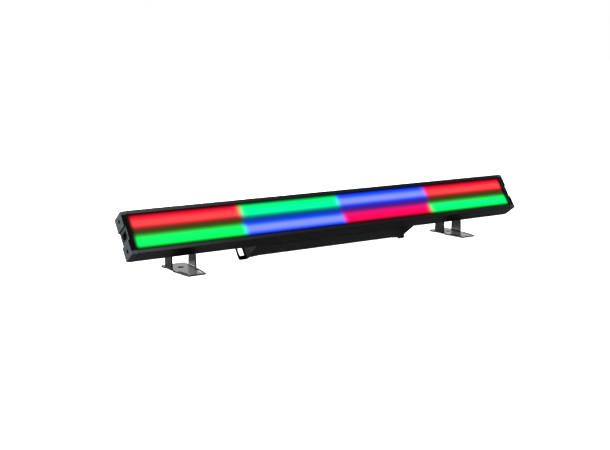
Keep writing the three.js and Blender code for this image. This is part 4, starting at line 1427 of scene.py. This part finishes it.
@dataclass
class SupplyBox:
    """The sheet box on the housing's back, with its sockets, controls and safety eyes."""

    sheet_round: float = 0.7 * MM
    cover_sheet: float = 1.5 * MM
    gap: float = 0.3 * MM
    button_radius: float = 3.5 * MM
    button_proud: float = 1.6 * MM
    collar: float = 1.6 * MM
    fuse_grip: float = 6 * MM

    def build(self) -> None:
        """Dresses the sheet metal and the inner parts, and makes the turned and folded ones."""
        dress("supply_box_shell", POWDER_COAT, self.sheet_round)
        dress("supply_box_cover", POWDER_COAT, self.sheet_round)
        dress("power_supply", ZINC_PLATE)
        dress("control_board", GREEN_MASK)
        dress("display_window", SMOKED_ACRYLIC, 0.3 * MM)
        dress("cable_grommet", RUBBER, 0.3 * MM)
        dress("wiring_loom", RUBBER)
        dress("data_outlet_latch", ZINC_PLATE, 0.4 * MM)
        for socket in (
            PanelSocket("power_inlet", -1, BLUE_PBT, "blueMoulding", 9.6 * MM, 18 * MM, blades=3),
            PanelSocket("power_outlet", 1, GREY_PBT, "paleMoulding", 9.6 * MM, 18 * MM, blades=3),
            PanelSocket("data_inlet", -1, BLACK_NYLON, "blackMoulding", 9.3 * MM, 15 * MM, pins=5),
            PanelSocket("data_outlet", 1, BLACK_NYLON, "blackMoulding", 9.6 * MM, 13 * MM, 7.2 * MM, pins=5),
        ):
            socket.build()
        SafetyEye("left_safety_eye", 1).build()
        SafetyEye("right_safety_eye", -1).build()
        for number in range(1, 5):
            self.button(number)
            self.cover_screw(number)
        self.fuse()

    def along_y(self, node: str) -> tuple[Placement, float, float]:
        """A turned part's placement, w pointing out of the cover, and its lowest and highest w."""
        low, high = bar_box(node)
        middle = (low + high) / 2
        return BAR @ Placement.at(middle[0], 0, middle[2]) @ ALONG_Y, low[1], high[1]

    def button(self, number: int) -> None:
        """A menu button: a stem with a collar under the cover and a dished top."""
        node = f"menu_button_{number}"
        place, low, high = self.along_y(node)
        cover = high - self.button_proud - self.cover_sheet - self.gap
        radius = self.button_radius
        profile = rounded([
            (0, low, 0),
            (radius, low, 0.3 * MM),
            (radius, cover - self.collar, 0),
            (radius + 1.2 * MM, cover - self.collar, 0.2 * MM),
            (radius + 1.2 * MM, cover, 0.2 * MM),
            (radius, cover, 0),
            (radius, high, 0.7 * MM),
            (radius * 0.6, high - 0.15 * MM, 0.3 * MM),
            (0, high - 0.3 * MM, 0),
        ], 4)
        shell = turned(profile, 40).placed(place)
        new_piece(f"{node}_key", shell, BLACK_NYLON, f"button_{number}", [node])

    def cover_screw(self, number: int) -> None:
        """A socket screw through the cover, or through the safety eye's tab."""
        node = f"cover_screw_{number}"
        place, low, high = self.along_y(node)
        head = 2 * MM
        seat = high - head
        screw = SocketScrew(CAP_SCREW.head, head, CAP_SCREW.shank, seat - low)
        screw.fit(node, place @ Placement.at(0, 0, seat))

    def fuse(self) -> None:
        """The panel fuse holder, and its cap with a coin slot and a ribbed rim."""
        place, low, high = self.along_y("fuse_holder")
        holder = turned(rounded([
            (4.4 * MM, low + 4 * MM, 0),
            (4.4 * MM, high, 0.3 * MM),
            (8.4 * MM, high, 0.2 * MM),
            (9 * MM, high - 0.6 * MM, 0.2 * MM),
            (9 * MM, high - 1.6 * MM, 0),
            (7.5 * MM, high - 1.6 * MM, 0),
            (7.5 * MM, low, 0.4 * MM),
            (4.4 * MM, low, 0),
        ], 4), 48).placed(place)
        new_piece("fuse_holder_body", holder, BLACK_NYLON, "batten", ["fuse_holder"])
        place, low, high = self.along_y("fuse_cap")
        seat = high - 4.5 * MM
        slot = rectangle(-4.6 * MM, 4.6 * MM, -0.8 * MM, 0.8 * MM, 0.3 * MM)
        rim = circle(self.fuse_grip, steps=96)
        ribs = 1 + 0.025 * np.cos(np.arange(96) * np.pi * 0.5)[:, None]
        head = slab(rim * ribs, seat, high, 0.6 * MM, [slot], 3)
        floor = disc(5.2 * MM, seat + 0.1 * MM, high - 1.5 * MM, 0.05 * MM)
        stem = disc(4 * MM, low, seat + 0.3 * MM, 0.4 * MM)
        shell = joined([head, floor, stem]).placed(place)
        new_piece("fuse_cap_grip", shell, BLACK_NYLON, "fuse_carrier", ["fuse_cap"])


# ---- The studio ----


@dataclass(frozen=True)
class SoftLight:
    """A rectangular area light aimed at a point. Sizes are in metres and watts. A fill is too
    broad and even to show as a highlight, so it isn't mirrored."""

    name: str
    place: tuple[float, float, float]
    target: tuple[float, float, float]
    size: tuple[float, float]
    power: float
    fill: bool = False

    def build(self) -> None:
        """Adds the light to the scene."""
        data = bpy.data.lights.new(self.name, "AREA")
        data.shape = "RECTANGLE"
        data.size, data.size_y = self.size
        data.energy = self.power
        lamp = bpy.data.objects.new(self.name, data)
        lamp.location = self.place
        aim = Vector(self.target) - Vector(self.place)
        lamp.rotation_euler = aim.to_track_quat("-Z", "Y").to_euler()
        lamp.visible_camera = False
        lamp.visible_glossy = not self.fill
        bpy.context.scene.collection.objects.link(lamp)


@dataclass
class Studio:
    """A pale backlit floor and surround, soft lights and the camera.

    The floor and the surround are bright to the camera and dim to everything else, which is what
    flags round a product table do: they keep the white from being mirrored in black metal.
    """

    floor_half: float = 30.0
    backlight: float = 0.86
    seen_surround: float = 1.0
    felt_surround: float = 0.2
    lights: tuple[SoftLight, ...] = (
        SoftLight("key", (-0.3, -0.97, 1.72), (-0.2, 0, 0.05), (1.6, 1.6), 30),
        SoftLight("side", (2.8, -0.8, 1.35), (0.4, 0, 0.05), (1.2, 1.2), 3),
        SoftLight("edge", (-1.45, 2.0, 0.5), (-0.5, 0, 0.08), (1.5, 0.9), 26),
        SoftLight("back_panel", (2.2, 2.9, 0.95), (0.1, 0, 0.05), (3.2, 2.1), 24),
        SoftLight("left_fill", (-2.1, 0.35, 0.5), (-0.5, 0, 0.08), (1.0, 0.8), 40, fill=True),
        SoftLight("rear_fill", (0.1, 1.9, 0.35), (0, 0, 0.08), (2.4, 0.8), 90, fill=True),
    )
    camera_place: tuple[float, float, float] = (-1.1799, -1.70595, 0.4413)
    camera_ahead: tuple[float, float, float] = (0.536, 0.825, -0.182)
    lens: float = 56.13

    def build(self) -> None:
        """Makes the floor, the surround, the lights and the camera."""
        self.floor()
        world = bpy.data.worlds.new("surround")
        world.use_nodes = True
        tree = world.node_tree
        seen = add_node(tree, "ShaderNodeLightPath").outputs["Is Camera Ray"]
        strength = add_node(
            tree, "ShaderNodeMapRange", Value=seen, To_Min=self.felt_surround, To_Max=self.seen_surround
        ).outputs["Result"]
        background = tree.nodes["Background"]
        background.inputs["Color"].default_value = linear("ffffff")
        tree.links.new(strength, background.inputs["Strength"])
        scene = bpy.context.scene
        scene.world = world
        scene.view_settings.view_transform = "Standard"
        for light in self.lights:
            light.build()
        data = bpy.data.cameras.new("camera")
        data.lens = self.lens
        data.clip_end = 200
        camera = bpy.data.objects.new("camera", data)
        camera.location = self.camera_place
        camera.rotation_euler = Vector(self.camera_ahead).to_track_quat("-Z", "Y").to_euler()
        scene.collection.objects.link(camera)
        scene.camera = camera

    def floor(self) -> None:
        """The floor: white paper with a faint grain, lit from below for the camera alone."""
        half = self.floor_half
        mesh = bpy.data.meshes.new("floor")
        corners = [(-half, -half, 0), (half, -half, 0), (half, half, 0), (-half, half, 0)]
        mesh.from_pydata(corners, [], [(0, 1, 2, 3)])
        floor = bpy.data.objects.new("floor", mesh)
        bpy.context.scene.collection.objects.link(floor)
        material = bpy.data.materials.new("backlit_paper")
        material.use_nodes = True
        tree = material.node_tree
        tree.nodes.clear()
        place = add_node(tree, "ShaderNodeTexCoord").outputs["Object"]
        grain = add_node(tree, "ShaderNodeTexNoise", Vector=place, Scale=120.0, Detail=2.0).outputs["Fac"]
        seen = add_node(tree, "ShaderNodeLightPath").outputs["Is Camera Ray"]
        colours = {"n6": linear("ececec"), "n7": linear("f4f4f4")}
        pale = add_node(tree, "ShaderNodeMix", COLOUR_MIX, Factor=grain, **colours).outputs[2]
        dim = linear("6a6a6a")
        tone = add_node(tree, "ShaderNodeMix", COLOUR_MIX, Factor=seen, n6=dim, n7=pale).outputs[2]
        glow = add_node(tree, "ShaderNodeMath", {"operation": "MULTIPLY"}, n0=seen, n1=self.backlight)
        light = {"Emission_Color": linear("ffffff"), "Emission_Strength": glow.outputs[0]}
        shader = add_node(tree, "ShaderNodeBsdfPrincipled", Base_Color=tone, Roughness=0.8, **light)
        shader.inputs["Specular IOR Level"].default_value = 0.1
        add_node(tree, "ShaderNodeOutputMaterial", Surface=shader.outputs["BSDF"])
        mesh.materials.append(material)


def main() -> None:
    """Builds the batten and its studio."""
    logging.basicConfig(level=logging.INFO, format="%(name)s: %(message)s")
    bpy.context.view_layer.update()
    Housing().build()
    LightEngine().build()
    SupplyBox().build()
    for name in ("left", "right"):
        TiltFoot(name).build()
    Studio().build()


if __name__ == "__main__":
    main()
